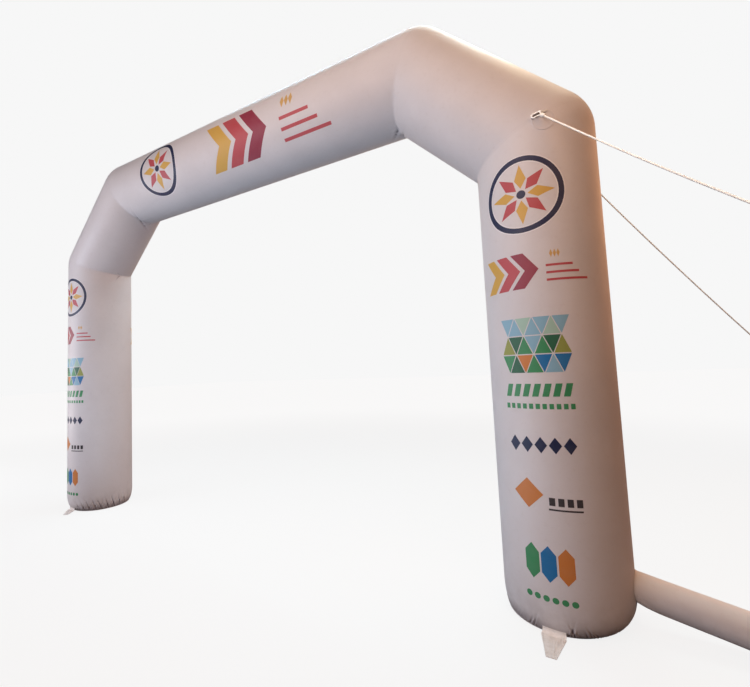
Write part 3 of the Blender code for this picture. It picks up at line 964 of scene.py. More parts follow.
def tube_grid(points, steps, radius, closed=False):
    """Rings of points round a line. radius is a function of the angle and the way gone."""
    angle = math.tau * np.arange(steps) / steps
    gone, rows = 0.0, []
    for i, (point, (_, side, up)) in enumerate(zip(points, route_frames(points, closed))):
        gone += (point - points[i - 1]).length if i else 0.0
        reach = radius(angle, gone)[:, None]
        ring = np.cos(angle)[:, None] * np.array(side) + np.sin(angle)[:, None] * np.array(up)
        rows.append(np.array(point) + reach * ring)
    return np.array(rows)


def line_uv(grid, points, radius, closed=False):
    steps = grid.shape[1]
    gone = [0.0]
    for p, q in zip(points, points[1:]):
        gone.append(gone[-1] + (q - p).length)
    u = math.tau * radius * np.arange(steps + 1) / steps
    v = np.array(gone + [gone[-1] + (points[0] - points[-1]).length] * closed)
    return np.stack(np.broadcast_arrays(u[None, :], v[:, None]), -1)


def tube_object(name, lines, steps, radius, size, material, closed=False):
    """One object of tubes along these lines, each closed into a loop or capped."""
    bm = bmesh.new()
    for points in lines:
        grid = tube_grid(points, steps, radius, closed)
        if closed:
            grid = np.concatenate([grid, grid[:1]])
        uv = line_uv(grid, points, size, closed)
        part = grid_mesh(name, grid, uv, {}, caps=not closed)
        bm.from_mesh(part)
        bpy.data.meshes.remove(part)
    bmesh.ops.remove_doubles(bm, verts=bm.verts, dist=WELD)
    mesh = mesh_of(bm, name)
    mesh.materials.append(material)
    return link(bpy.data.objects.new(name, mesh))


# ---------------------------------------------------------------- ropes


def smooth_route(knots, spacing):
    """Evenly spaced points on a Catmull-Rom curve through the knots."""
    knots = [Vector(knot) for knot in knots]
    padded = [2 * knots[0] - knots[1], *knots, 2 * knots[-1] - knots[-2]]
    fine = []
    for a, b, c, d in zip(padded, padded[1:], padded[2:], padded[3:]):
        for step in range(20):
            t = step / 20
            bend = (2 * a - 5 * b + 4 * c - d) * t * t + (3 * b - a - 3 * c + d) * t**3
            fine.append((2 * b + (c - a) * t + bend) / 2)
    fine.append(knots[-1])
    gone = [0.0]
    for p, q in zip(fine, fine[1:]):
        gone.append(gone[-1] + (q - p).length)
    count = round(gone[-1] / spacing)
    even, place = [], 0
    for i in range(count + 1):
        wanted = gone[-1] * i / count
        while place < len(gone) - 2 and gone[place + 1] < wanted:
            place += 1
        share = (wanted - gone[place]) / (gone[place + 1] - gone[place])
        even.append(fine[place].lerp(fine[place + 1], share))
    return even


def laid_rope(angle, gone):
    """The outline of a rope of three strands, laid to the right."""
    strand = np.abs(np.cos(1.5 * (angle - math.tau * gone / ROPE_LAY)))
    return ROPE_RADIUS - ROPE_GROOVE + ROPE_GROOVE * strand


def oval(centre, first, second, steps):
    """Points round an oval with these two half axes."""
    turns = [math.tau * i / steps for i in range(steps)]
    return [centre + first * math.cos(turn) + second * math.sin(turn) for turn in turns]


def wrapped_turns(start, along, length, turns, reach):
    """Points of a close winding round a rope."""
    side = along.orthogonal().normalized()
    up = along.cross(side)
    points = []
    for i in range(24 * turns + 1):
        share = i / (24 * turns)
        turn = math.tau * turns * share
        points.append(
            start + along * length * share + reach * (side * math.cos(turn) + up * math.sin(turn))
        )
    return points


def add_rope(name, route, material):
    points = [RIGHT_FOOT + p for p in smooth_route(route, ROPE_POINT_SPACING)]
    rope = tube_object(f"rope_{name}", [points], ROPE_STEPS, laid_rope, ROPE_RADIUS, material)
    declare(rope, "rope", f"guy_rope_{name}")

    def thinner(angle, gone):
        return 0.86 * laid_rope(angle, gone)

    out = (points[1] - points[0]).normalized()
    bar = Vector((1, 0, 0))
    square = (out - bar * out.dot(bar)).normalized()
    centre = points[0] - 0.004 * square
    loop = oval(centre, 0.0115 * square, 0.0095 * bar.cross(square), 48)
    winding = wrapped_turns(points[0] + 0.008 * out, out, 0.030, 4, 0.0078)
    knot = tube_object(f"knot_{name}", [winding], 16, thinner, ROPE_RADIUS, material)
    declare(knot, "rope")
    hitch = tube_object(
        f"hitch_{name}", [loop], 16, thinner, ROPE_RADIUS, material, closed=True
    )
    declare(hitch, "rope")

    last = points[-1]
    along = (last - points[-2]).normalized()
    level = Vector((0, 0, 1)).cross(along).normalized()
    side, half = EYE_WIDTH / 2 - ROPE_RADIUS, EYE_LENGTH / 2
    centre = last + along * (half + 2 * ROPE_RADIUS)
    loop = oval(centre, along * half, level * side, 96)
    eye = tube_object(
        f"eye_{name}", [loop], ROPE_STEPS, laid_rope, ROPE_RADIUS, material, closed=True
    )
    declare(eye, "rope", f"guy_eye_{name}")
    winding = wrapped_turns(last - 0.022 * along, along, 0.040, 5, 0.0080)
    whipping = tube_object(f"whipping_{name}", [winding], 16, thinner, ROPE_RADIUS, material)
    declare(whipping, "rope")


# ---------------------------------------------------------------- discs, tabs and sleeve


def add_base(leg, node, foot, fabric):
    azimuth = math.tau * np.arange(BASE_STEPS) / BASE_STEPS
    edge = seam_radius(leg, azimuth) + FLANGE[leg] + 0.0006 * waves(node, azimuth, (23, 41, 60))
    ring = np.stack([np.cos(azimuth), np.sin(azimuth)], 1)
    profile = (
        # share of the radius, height as a share of the disc's thickness
        (0.02, 0.0), (0.5, 0.0), (0.9, 0.0), (0.985, 0.0), (0.997, 0.12), (1.0, 0.5), (0.997, 0.9),
        (0.985, 1.0), (0.975, 0.86), (0.965, 1.0), (0.9, 0.95), (0.5, 0.95), (0.02, 0.95),
    )
    rows = []
    for share, height in profile:
        flat = ring * (edge * share)[:, None] + np.array(foot)[:2]
        rows.append(np.column_stack([flat, np.full(BASE_STEPS, height * BASE_THICKNESS)]))
    grid = np.array(rows)
    uv = np.concatenate([grid[..., :2], grid[:, :1, :2]], 1)
    fields = {"seam": np.full(grid.shape[:2], FAR_FROM_SEAM), "fold": np.zeros(grid.shape[:2])}
    mesh = facing_out(grid_mesh(node, grid, uv, fields))
    obj = add_piece("cloth_" + node, mesh, fabric, "coated_fabric", node)


def slab_mesh(name, top, bottom, uv, fields):
    """A closed sheet between two grids of points with the same rows and columns."""
    rows, columns = top.shape[:2]
    bm = bmesh.new()
    layers = []
    for grid in (top, bottom):
        layers.append([[bm.verts.new(point) for point in row] for row in grid])
    upper, lower = layers
    uv_layer = bm.loops.layers.uv.new("metres")
    places = {}
    for layer in layers:
        for i, row in enumerate(layer):
            for j, vert in enumerate(row):
                places[vert] = uv[i, j]
    for i in range(rows - 1):
        for j in range(columns - 1):
            for layer in layers:
                near, far = layer[i], layer[i + 1]
                bm.faces.new((near[j], near[j + 1], far[j + 1], far[j]))
    rim = [(0, j) for j in range(columns)] + [(i, columns - 1) for i in range(1, rows)]
    rim += [(rows - 1, j) for j in range(columns - 2, -1, -1)]
    rim += [(i, 0) for i in range(rows - 2, 0, -1)]
    for (i, j), (k, m) in zip(rim, rim[1:] + rim[:1]):
        bm.faces.new((upper[i][j], upper[k][m], lower[k][m], lower[i][j]))
    for face in bm.faces:
        for loop in face.loops:
            loop[uv_layer].uv = places[loop.vert]
    mesh = mesh_of(bm, name)
    for field, values in fields.items():
        attribute = mesh.attributes.new(field, "FLOAT", "POINT")
        attribute.data.foreach_set("value", np.tile(values.ravel(), 2).astype(np.float32))
    mesh.shade_smooth()
    mesh.set_sharp_from_angle(angle=math.radians(50))
    return mesh


def tab_crinkle(along, across):
    """Height of the tab's crinkles: along runs 0 to 1 to the tip, across -1 to 1."""
    height = np.zeros_like(along)
    for row in TAB_CRINKLES:
        ahead, beside = along - row.along, (across - row.across) * TAB_SLIMNESS
        run = ahead * math.cos(row.turn) + beside * math.sin(row.turn)
        aside = beside * math.cos(row.turn) - ahead * math.sin(row.turn)
        height = height + row.height * np.exp(-((aside / row.width) ** 2) - (run / row.length) ** 2)
    return height


def tab_profile(gone):
    """Out from the root and up, and the way the tab's outer face looks, gone metres along."""
    hang = TAB_ROOT_HEIGHT - TAB_BEND_RADIUS
    turn = np.clip((gone - hang) / TAB_BEND_RADIUS, 0, math.pi / 2)
    out = TAB_BEND_RADIUS * (1 - np.cos(turn))
    up = TAB_ROOT_HEIGHT - np.minimum(gone, hang) - TAB_BEND_RADIUS * np.sin(turn)
    return out, up, np.cos(turn), np.sin(turn)


def tab_root_radius(leg, azimuth):
    """How far a tab's root is from the leg's axis."""
    inward = TUBE_RADIUS - seam_radius(leg, azimuth)
    sine = 1 - (TAB_ROOT_HEIGHT - FOOT_SEAM_HEIGHT) / FOOT_GATHER_HEIGHT
    return TUBE_RADIUS - inward * (1 - math.sqrt(1 - sine**2)) + TAB_ROOT_OFF


def add_tab(node, leg, foot, place, pointing, run, fabric):
    """A tapered tab: sewn to the foot along its root, then down and out along the ground."""
    centre = math.radians(place)
    radius = float(tab_root_radius(leg, centre))
    bend_length = TAB_ROOT_HEIGHT - TAB_BEND_RADIUS + TAB_BEND_RADIUS * math.pi / 2
    length = bend_length + run
    along, across = np.meshgrid(
        np.linspace(0, 1, TAB_ROWS), np.linspace(-1, 1, TAB_COLUMNS), indexing="ij"
    )
    gone = along * length
    out, up, face_out, face_up = tab_profile(gone)
    azimuth = centre + TAB_ROOT_WIDTH / 2 / radius * across
    ring = np.stack([np.cos(azimuth), np.sin(azimuth)], -1)
    near = ring * (tab_root_radius(leg, azimuth) + out)[..., None]
    way = np.array([math.cos(math.radians(pointing)), math.sin(math.radians(pointing))])
    aside = np.array([-way[1], way[0]])
    tip = (radius + TAB_REACH) * np.array([math.cos(centre), math.sin(centre)])
    tip = tip + run * way + across[..., None] * TAB_TIP_WIDTH / 2 * aside
    share = np.clip((gone - bend_length) / run, 0, 1)[..., None]
    flat = near + (tip - near) * share + np.array(foot)[:2]

    to_hem = length - TAB_HEM - gone
    low = 0.0004 + tab_crinkle(along, across) * smoothstep(0, bend_length, gone)
    hem = smoothstep(0, 0.006, -to_hem) * 0.0009
    rim = smoothstep(0.90, 0.95, np.abs(across)) * 0.0006
    high = low + TAB_THICKNESS + hem + rim
    faces = []
    for lift in (high, low):
        spot = flat + ring * (face_out * lift)[..., None]
        faces.append(np.dstack([spot, up + face_up * lift]))
    uv = np.stack([across * TAB_ROOT_WIDTH / 2, gone], -1)
    fields = {"fold": np.zeros_like(low), "seam": np.abs(to_hem) + 0.008}
    mesh = slab_mesh(node, faces[0], faces[1], uv, fields)
    obj = add_piece("cloth_" + node, mesh, fabric, "webbing", node)
    corners = [near[-1, 0], near[-1, -1], tip[-1, -1], tip[-1, 0]]
    ends = zip(corners, corners[1:] + corners[:1])
    on_ground = abs(sum(p[0] * q[1] - p[1] * q[0] for p, q in ends)) / 2


def sleeve_axes():
    """The sleeve's own frame: +Z out along it, +X level, +Y up and square to both."""
    turn, drop = SLEEVE_TURN, SLEEVE_DROP
    level_share = math.cos(drop)
    out = Vector((math.cos(turn) * level_share, math.sin(turn) * level_share, -math.sin(drop)))
    level = Vector((0, 0, 1)).cross(out).normalized()
    return Matrix((level, out.cross(level), out)).transposed()


def reach_leg(axes, x, y):
    """How far along the sleeve a line at (x, y) from its axis meets the leg's surface."""
    start = axes @ Vector((x, y, 0))
    out = axes.col[2]
    a = out.x**2 + out.y**2
    b = start.x * out.x + start.y * out.y
    c = start.x**2 + start.y**2 - (TUBE_RADIUS + GAP) ** 2
    return (-b + math.sqrt(b * b - a * c)) / a


def sleeve_relief(angle, gone):
    """The gathers beside the sleeve's seam and its slow unevenness."""
    total = 0.0007 * math.cos(2 * angle + 5 * gone) + 0.0006 * math.cos(3 * angle - 9 * gone + 1)
    total *= 1 - math.exp(-gone / 0.05)
    for gather in SLEEVE_GATHERS:
        lean = gather.lean * gone / gather.height
        offset = (math.degrees(angle) - gather.at - lean + 180) % 360 - 180
        offset = max(-5.0, min(5.0, offset / gather.width))
        fade = math.exp(-((gone / gather.height) ** 2)) * min(1.0, gone / 0.006)
        total += gather.depth * float(wavelet(offset)) * fade
    flare = 0.004 * math.exp(-((gone / 0.006) ** 2))
    hem_start = SLEEVE_REACH - TUBE_RADIUS - SLEEVE_HEM
    groove = -0.0012 * math.exp(-(((gone - hem_start) / 0.004) ** 2))
    return total + flare + groove


def sleeve_line(axes, angle, inside):
    """Points along one line of the sleeve's outer or inner face, from the leg to the mouth."""
    x, y = math.cos(angle), math.sin(angle)
    below = (1 - y) / 2
    neck = SLEEVE_RADIUS - SLEEVE_NECK * below
    first = reach_leg(axes, neck * x, neck * y)
    run = SLEEVE_REACH - first
    points = []
    for i in range(SLEEVE_ROWS + 1):
        share = (i / SLEEVE_ROWS) ** 1.6 if i < SLEEVE_ROWS else 1.0
        gone = run * share
        left = max(0.0, 1 - gone / (run * SLEEVE_NECK_SHARE))
        radius = SLEEVE_RADIUS - SLEEVE_NECK * below * left**2 + sleeve_relief(angle, gone)
        if gone > run - SLEEVE_HEM:
            radius += SLEEVE_HEM_PROUD
        if inside:
            radius -= SLEEVE_WALL + (SLEEVE_HEM_PROUD if gone > run - SLEEVE_HEM else 0)
        points.append((radius * x, radius * y, first + gone))
    return points


def add_sleeve(fabric):
    axes = sleeve_axes()
    angles = [math.tau * i / SLEEVE_STEPS for i in range(SLEEVE_STEPS)]
    outer = np.array([sleeve_line(axes, angle, False) for angle in angles]).transpose(1, 0, 2)
    inner = np.array([sleeve_line(axes, angle, True) for angle in angles]).transpose(1, 0, 2)
    lip = (outer[-1:] + inner[-1:]) / 2 + np.array([0, 0, SLEEVE_WALL / 2])
    rows = np.concatenate([outer, lip, inner[::-1], outer[:1]])
    turn = np.array(axes)
    root = np.array(RIGHT_FOOT) + np.array([0, 0, SLEEVE_HEIGHT])
    grid = rows @ turn.T + root
    u = math.tau * SLEEVE_RADIUS * np.arange(SLEEVE_STEPS + 1) / SLEEVE_STEPS
    v = np.concatenate([rows[..., 2], rows[:, :1, 2]], 1)
    uv = np.stack([np.broadcast_to(u, v.shape), v], -1)
    to_mouth = SLEEVE_REACH - rows[..., 2]
    to_leg = rows[..., 2] - rows[0, :, 2]
    seam = np.minimum(np.abs(to_mouth - SLEEVE_HEM) + 0.006, np.maximum(to_leg, 0))
    fields = {"seam": seam, "fold": np.zeros_like(seam)}
    mesh = grid_mesh("inlet_sleeve", grid, uv, fields, caps=False)
    bm = bmesh.new()
    bm.from_mesh(mesh)
    bmesh.ops.remove_doubles(bm, verts=bm.verts, dist=WELD)
    bm.to_mesh(mesh)
    bm.free()
    facing_out(mesh)
    obj = add_piece("cloth_inlet_sleeve", mesh, fabric, "coated_fabric", "inlet_sleeve")


# ---------------------------------------------------------------- guy points


def surface_of(objects):
    points, faces = [], []
    for obj in objects:
        start = len(points)
        points += [vertex.co.copy() for vertex in obj.data.vertices]
        quads = [face.vertices for face in obj.data.polygons if len(face.vertices) == 4]
        faces += [[start + i for i in quad] for quad in quads]
    return BVHTree.FromPolygons(points, faces)


def guy_frame(side, out, height, tilt, surface):
    """A place on the tube: +Z straight out, +X towards the middle of the arch."""
    start = RIGHT_FOOT + Vector((out, side * 2 * TUBE_RADIUS, height))
    point = surface.ray_cast(start, Vector((0, -side, 0)))[0]
    offset = point - RIGHT_FOOT
    normal = Vector((offset.x, offset.y, 0)).normalized()
    inward = Vector((-normal.y * side, normal.x * side, 0))
    inward = inward if inward.x < 0 else -inward
    across = normal.cross(inward)
    turned_by = Matrix.Rotation(tilt * (1 if across.z > 0 else -1), 3, "Z")
    place = (Matrix((inward, across, normal)).transposed() @ turned_by).to_4x4()
    place.translation = point
    return place


def add_patch(name, place, rise, surface, fabric):
    back = place.inverted()
    out = place.to_3x3().col[2]

    def highest(x, y):
        """The cloth's highest point near here, so that a seam's gap isn't followed."""
        found = []
        for dx, dy in ((0, 0), (0.001, 0), (-0.001, 0), (0, 0.001), (0, -0.001)):
            hit = surface.ray_cast(place @ Vector((x + dx, y + dy, TUBE_RADIUS / 2)), -out)[0]
            found.append((back @ hit).z)
        return max(found)

    profile = (
        # share of the radius, height off the tube in metres
        (0.02, 0.0004), (0.35, 0.0004), (0.7, 0.0004), (0.97, 0.0004), (1.0, 0.0008), (1.0, 0.0018),
        (0.975, 0.0026), (0.945, 0.0027), (0.925, 0.0021), (0.905, 0.0024), (0.87, 0.0019),
        (0.7, 0.0020), (0.35, 0.0020), (0.02, 0.0020),
    )
    rows = []
    for share, height in profile:
        row = []
        for i in range(PATCH_STEPS):
            turn = math.tau * i / PATCH_STEPS
            x, y = PATCH_RADIUS * share * math.cos(turn), PATCH_RADIUS * share * math.sin(turn)
            row.append(place @ Vector((x, y, highest(x, y) + height)))
        rows.append(row)
    grid = np.array([[tuple(point) for point in row] for row in rows])
    flat = np.array([[tuple(back @ point)[:2] for point in row] for row in rows])
    uv = np.concatenate([flat, flat[:, :1]], 1)
    radius = np.hypot(flat[..., 0], flat[..., 1])
    # Painted shade: a dark oval on the patch where the ring's opening shows shade, set a little high.
    above_it = math.copysign(SLOT_SHADE_RISE, rise)
    ring_x = (flat[..., 0] - RING_LENGTH / 2 + RING_WIRE_RADIUS) / (RING_LENGTH / 2)
    ring_y = (flat[..., 1] - rise - above_it) / (RING_WIDTH / 2 + SLOT_SHADE_RISE)
    painted_shade = smoothstep(1.0, 0.7, np.maximum(np.abs(ring_x), np.abs(ring_y)))
    fields = {"seam": np.abs(radius - PATCH_RADIUS) + 0.002, "fold": painted_shade}
    mesh = facing_out(grid_mesh("patch_" + name, grid, uv, fields))
    obj = add_piece(
        f"cloth_guy_patch_{name}", mesh, fabric, "coated_fabric", f"guy_patch_{name}"
    )


def ring_corners(centre_x, centre_y, steps):
    """The middle line of an oblong ring with round corners, in the guy point's own frame."""
    radius = RING_CORNER_RADIUS
    reach = RING_LENGTH / 2 - RING_WIRE_RADIUS - radius
    half = RING_WIDTH / 2 - RING_WIRE_RADIUS - radius
    corners = ((reach, half), (-reach, half), (-reach, -half), (reach, -half))
    points = []
    for quarter, (x, y) in enumerate(corners):
        for i in range(steps + 1):
            turn = math.pi / 2 * (quarter + i / steps)
            across = centre_x + x + radius * math.cos(turn)
            up = centre_y + y + radius * math.sin(turn)
            points.append(Vector((across, up, RING_STAND_OFF)))
    return points


def add_ring(name, place, rise, material):
    points = [place @ point for point in ring_corners(RING_LENGTH / 2 - RING_WIRE_RADIUS, rise, 8)]

    def wire(angle, gone):
        return np.full_like(angle, RING_WIRE_RADIUS)

    ring = tube_object(f"ring_{name}", [points], 20, wire, RING_WIRE_RADIUS, material, closed=True)
    declare(ring, "ring", f"guy_ring_{name}")


def touch_angle(x, z, radius, side):
    """Where a straight run from this point touches a circle round the origin."""
    return math.atan2(z, x) % math.tau + side * math.acos(radius / math.hypot(x, z))


def webbing_path():
    """(x, z) along the strip: in on the patch, round the ring's end bar and back on itself."""
    fold = RING_WIRE_RADIUS + GAP + WEBBING_THICKNESS / 2
    low = 0.0020 + GAP + WEBBING_THICKNESS / 2
    high = low + WEBBING_THICKNESS + 0.0006
    enter, leave = -2 * fold, -3 * fold
    first = touch_angle(enter, low - RING_STAND_OFF, fold, 1) - math.tau
    last = touch_angle(leave, high - RING_STAND_OFF, fold, -1)
    path = [(-WEBBING_LENGTH * (1 - i / 8) + enter * i / 8, low) for i in range(9)]
    for i in range(25):
        turn = first + (last - first) * i / 24
        path.append((fold * math.cos(turn), RING_STAND_OFF + fold * math.sin(turn)))
    return path + [(leave * (1 - i / 8) - WEBBING_LENGTH * i / 8, high) for i in range(9)]


def add_webbing(name, place, rise, material):
    path = webbing_path()
    outline = []
    half_width, half_thick = WEBBING_WIDTH / 2, WEBBING_THICKNESS / 2
    for i in range(24):
        turn = math.tau * i / 24
        x, y = math.cos(turn), math.sin(turn)
        across = math.copysign(abs(x) ** 0.25, x) * half_width
        up = math.copysign(abs(y) ** 0.5, y) * half_thick
        outline.append((across, up))
    rows = []
    for i, (x, z) in enumerate(path):
        before, after = path[max(i - 1, 0)], path[min(i + 1, len(path) - 1)]
        run = Vector((after[0] - before[0], after[1] - before[1])).normalized()
        row = []
        for aside, off in outline:
            row.append(place @ Vector((x - run.y * off, rise + aside, z + run.x * off)))
        rows.append(row)
    grid = np.array([[tuple(point) for point in row] for row in rows])
    u = np.array([aside for aside, _ in outline] + [outline[0][0]])
    gone = np.cumsum([0.0] + [math.dist(p, q) for p, q in zip(path, path[1:])])
    uv = np.stack(np.broadcast_arrays(u[None, :], gone[:, None]), -1)
    mesh = facing_out(grid_mesh("webbing_" + name, grid, uv, {}))
    obj = add_piece(f"strap_{name}", mesh, material, "webbing", f"guy_tab_{name}")


def add_guy_points(tubes, finishes):
    surface = surface_of([tubes["leg_right"], tubes["shoulder_right"]])
    for name, side, out, height, tilt, rise in GUY_POINTS:
        place = guy_frame(side, out, height, tilt, surface)
        rise = math.copysign(rise, place.col[1].z)
        add_patch(name, place, rise, surface, finishes["patch"])
        add_webbing(name, place, rise, finishes["webbing"])
        add_ring(name, place, rise, finishes["ring"])
        add_rope(name, GUY_ROUTES[name], finishes["rope"])


# ---------------------------------------------------------------- finishes

THREAD_SPACING = 0.0011
STITCH_LENGTH = 0.0062
STITCH_ROWS = (0.0085, 0.0145)


class Nodes:
    """Builds the nodes of a material or world. Most calls add a node and return an output."""

    def __init__(self, owner):
        self.owner = owner
        owner.use_nodes = True
        self.tree = owner.node_tree

    def put(self, node, inputs):
        for key, value in inputs.items():
            socket = node.inputs[key]
            if isinstance(value, bpy.types.NodeSocket):
                self.tree.links.new(value, socket)
            else:
                socket.default_value = value
        return node

    def add(self, kind, inputs, output=0, **settings):
        node = self.tree.nodes.new(kind)
        for key, value in settings.items():
            setattr(node, key, value)
        return self.put(node, inputs).outputs[output]

    def math(self, operation, *values):
        return self.add("ShaderNodeMath", dict(enumerate(values)), operation=operation)

    def field(self, name):
        return self.add("ShaderNodeAttribute", {}, 2, attribute_name=name)

    def noise(self, place, scale, detail=3.0, roughness=0.5):
        inputs = {"Vector": place, "Scale": scale, "Detail": detail, "Roughness": roughness}
        return self.add("ShaderNodeTexNoise", inputs)

    def between(self, value, low, high, to_low=0.0, to_high=1.0):
        return self.add(
            "ShaderNodeMapRange",
            {0: value, 1: low, 2: high, 3: to_low, 4: to_high},
            interpolation_type="SMOOTHSTEP",
        )

    def mix(self, share, first, second):
        inputs = {0: share, 6: first, 7: second}
        return self.add("ShaderNodeMix", inputs, 2, data_type="RGBA")

    def bump(self, height, strength, distance, normal=None):
        inputs = {"Height": height, "Strength": strength, "Distance": distance}
        if normal is not None:
            inputs["Normal"] = normal
        return self.add("ShaderNodeBump", inputs)

    def place(self):
        return self.add("ShaderNodeTexCoord", {}, 3)

    def uv(self):
        return self.add("ShaderNodeUVMap", {}, uv_map="metres")

    def split(self, vector):
        return self.put(self.tree.nodes.new("ShaderNodeSeparateXYZ"), {0: vector}).outputs

    def camera_sees(self, seen, lit, end):
        """Ends the tree: the camera sees one shader, and the light meets the other."""
        camera_ray = self.add("ShaderNodeLightPath", {}, "Is Camera Ray")
        either = self.add("ShaderNodeMixShader", {0: camera_ray, 1: lit, 2: seen})
        self.put(self.tree.nodes[end], {0: either})

    def finish(self, **inputs):
        shader = self.tree.nodes["Principled BSDF"]
        self.put(shader, {key.replace("_", " "): value for key, value in inputs.items()})
        return self.owner


def material_nodes(name):
    return Nodes(bpy.data.materials.new(name))


def colour(red, green, blue):
    return (red, green, blue, 1.0)


def weave(nodes):
    """A plain weave's height over the cloth, and the way across the cloth in metres."""
    u, v, _ = nodes.split(nodes.uv())
    across = nodes.math("SINE", nodes.math("MULTIPLY", u, math.pi / THREAD_SPACING))
    along = nodes.math("SINE", nodes.math("MULTIPLY", v, math.pi / THREAD_SPACING))
    return nodes.math("MULTIPLY", across, along), u


def coated_fabric(name, base, worn, dirt_and_shade_share, painted_shade=(0.22, 0.18, 0.22), painted_shade_share=0.75):
    """Satin coated cloth: weave, stitch rows by the seams, painted shade in the folds, floor dirt, and a
    bottom band of dirt and painted shade.
    """
    nodes = material_nodes(name)
    threads, across = weave(nodes)
    place = nodes.place()
    clouds = nodes.noise(place, 1.7, 4.0, 0.55)
    specks = nodes.noise(place, 34.0, 5.0, 0.6)
    tone = nodes.mix(nodes.between(clouds, 0.35, 0.68), base, worn)
    tone = nodes.mix(nodes.between(specks, 0.52, 0.80, 0.0, 0.14), tone, colour(0.55, 0.49, 0.45))
    # Painted shade: the fold field darkens creases, gathers and puckers towards the shade colour.
    fold = nodes.between(nodes.field("fold"), 0.15, 1.0, 0.0, painted_shade_share)
    tone = nodes.mix(fold, tone, colour(*painted_shade))

    seam = nodes.field("seam")
    place_in_stitch = nodes.math("FRACT", nodes.math("MULTIPLY", across, 1 / STITCH_LENGTH))
    dash = nodes.math("LESS_THAN", place_in_stitch, 0.66)
    rows = []
    for gap in STITCH_ROWS:
        off = nodes.math("ABSOLUTE", nodes.math("SUBTRACT", seam, gap))
        rows.append(nodes.math("LESS_THAN", off, 0.0008))
    stitches = nodes.math("MULTIPLY", nodes.math("MAXIMUM", *rows), dash)
    tone = nodes.mix(nodes.math("MULTIPLY", stitches, 0.16), tone, colour(0.47, 0.44, 0.45))
    rub = nodes.between(seam, 0.0, 0.004, 0.06, 0.0)
    tone = nodes.mix(rub, tone, colour(0.40, 0.37, 0.38))

    height = nodes.split(place)[2]
    low = nodes.between(height, 0.0, 0.30, dirt_and_shade_share, 0.0)
    patchy = nodes.between(nodes.noise(place, 9.0, 6.0, 0.62), 0.30, 0.75)
    dirt = nodes.math("MULTIPLY", low, patchy)
    tone = nodes.mix(dirt, tone, colour(0.30, 0.26, 0.23))
    # Darker towards the bottom: the lowest 10 cm are partly dirt and partly painted shade where the
    # cloth turns down to the floor.
    sole = nodes.between(height, 0.0, 0.10, 2.0 * dirt_and_shade_share, 0.0)
    tone = nodes.mix(sole, tone, colour(0.25, 0.21, 0.22))

    rough = nodes.between(clouds, 0.2, 0.8, 0.40, 0.54)
    rough = nodes.math("ADD", rough, nodes.math("MULTIPLY", dirt, 0.25))
    soft = nodes.bump(nodes.noise(place, 5.5, 3.0, 0.5), 0.30, 0.006)
    fine = nodes.bump(specks, 0.22, 0.0007, soft)
    woven = nodes.bump(threads, 0.30, 0.0002, fine)
    sewn = nodes.bump(stitches, 0.3, 0.0004, woven)
    return nodes.finish(
        Base_Color=tone,
        Roughness=rough,
        Normal=sewn,
        Sheen_Weight=0.10,
        Sheen_Roughness=0.4,
        Specular_IOR_Level=0.45,
    )


def ink(name, base):
    """Print on the coated cloth: the weave shows through, with slight wear."""
    nodes = material_nodes("print_" + name)
    threads, _ = weave(nodes)
    place = nodes.place()
    patchy = nodes.noise(place, 11.0, 5.0, 0.6)
    worn = nodes.noise(place, 120.0, 4.0, 0.7)
    lighter = colour(*(0.90 * c + 0.06 for c in base[:3]))
    tone = nodes.mix(nodes.between(patchy, 0.38, 0.72, 0.0, 0.30), base, lighter)
    tone = nodes.mix(nodes.between(worn, 0.68, 0.80, 0.0, 0.35), tone, colour(0.70, 0.67, 0.66))
    rough = nodes.between(patchy, 0.2, 0.8, 0.34, 0.48)
    fine = nodes.bump(worn, 0.15, 0.0004)
    woven = nodes.bump(threads, 0.30, 0.0002, fine)
    return nodes.finish(Base_Color=tone, Roughness=rough, Normal=woven, Specular_IOR_Level=0.4)


def webbing_finish(name, base, shade, rib):
    """Matt ribbed webbing or tab cloth."""
    nodes = material_nodes(name)
    u, v, _ = nodes.split(nodes.uv())
    ribs = nodes.math("SINE", nodes.math("MULTIPLY", v, math.tau / rib))
    cross = nodes.math("SINE", nodes.math("MULTIPLY", u, math.tau / (rib * 1.6)))
    height = nodes.math("ADD", ribs, nodes.math("MULTIPLY", cross, 0.5))
    place = nodes.place()
    soil = nodes.noise(place, 26.0, 6.0, 0.6)
    tone = nodes.mix(nodes.between(soil, 0.35, 0.72), base, shade)
    # Painted shade: the troughs between the ribs are darker.
    tone = nodes.mix(nodes.between(height, -1.5, 0.3, 0.25, 0.0), tone, colour(0.38, 0.33, 0.30))
    bump = nodes.bump(height, 0.5, 0.0003, nodes.bump(soil, 0.3, 0.001))
    return nodes.finish(
        Base_Color=tone, Roughness=0.72, Normal=bump, Sheen_Weight=0.2, Specular_IOR_Level=0.3
    )


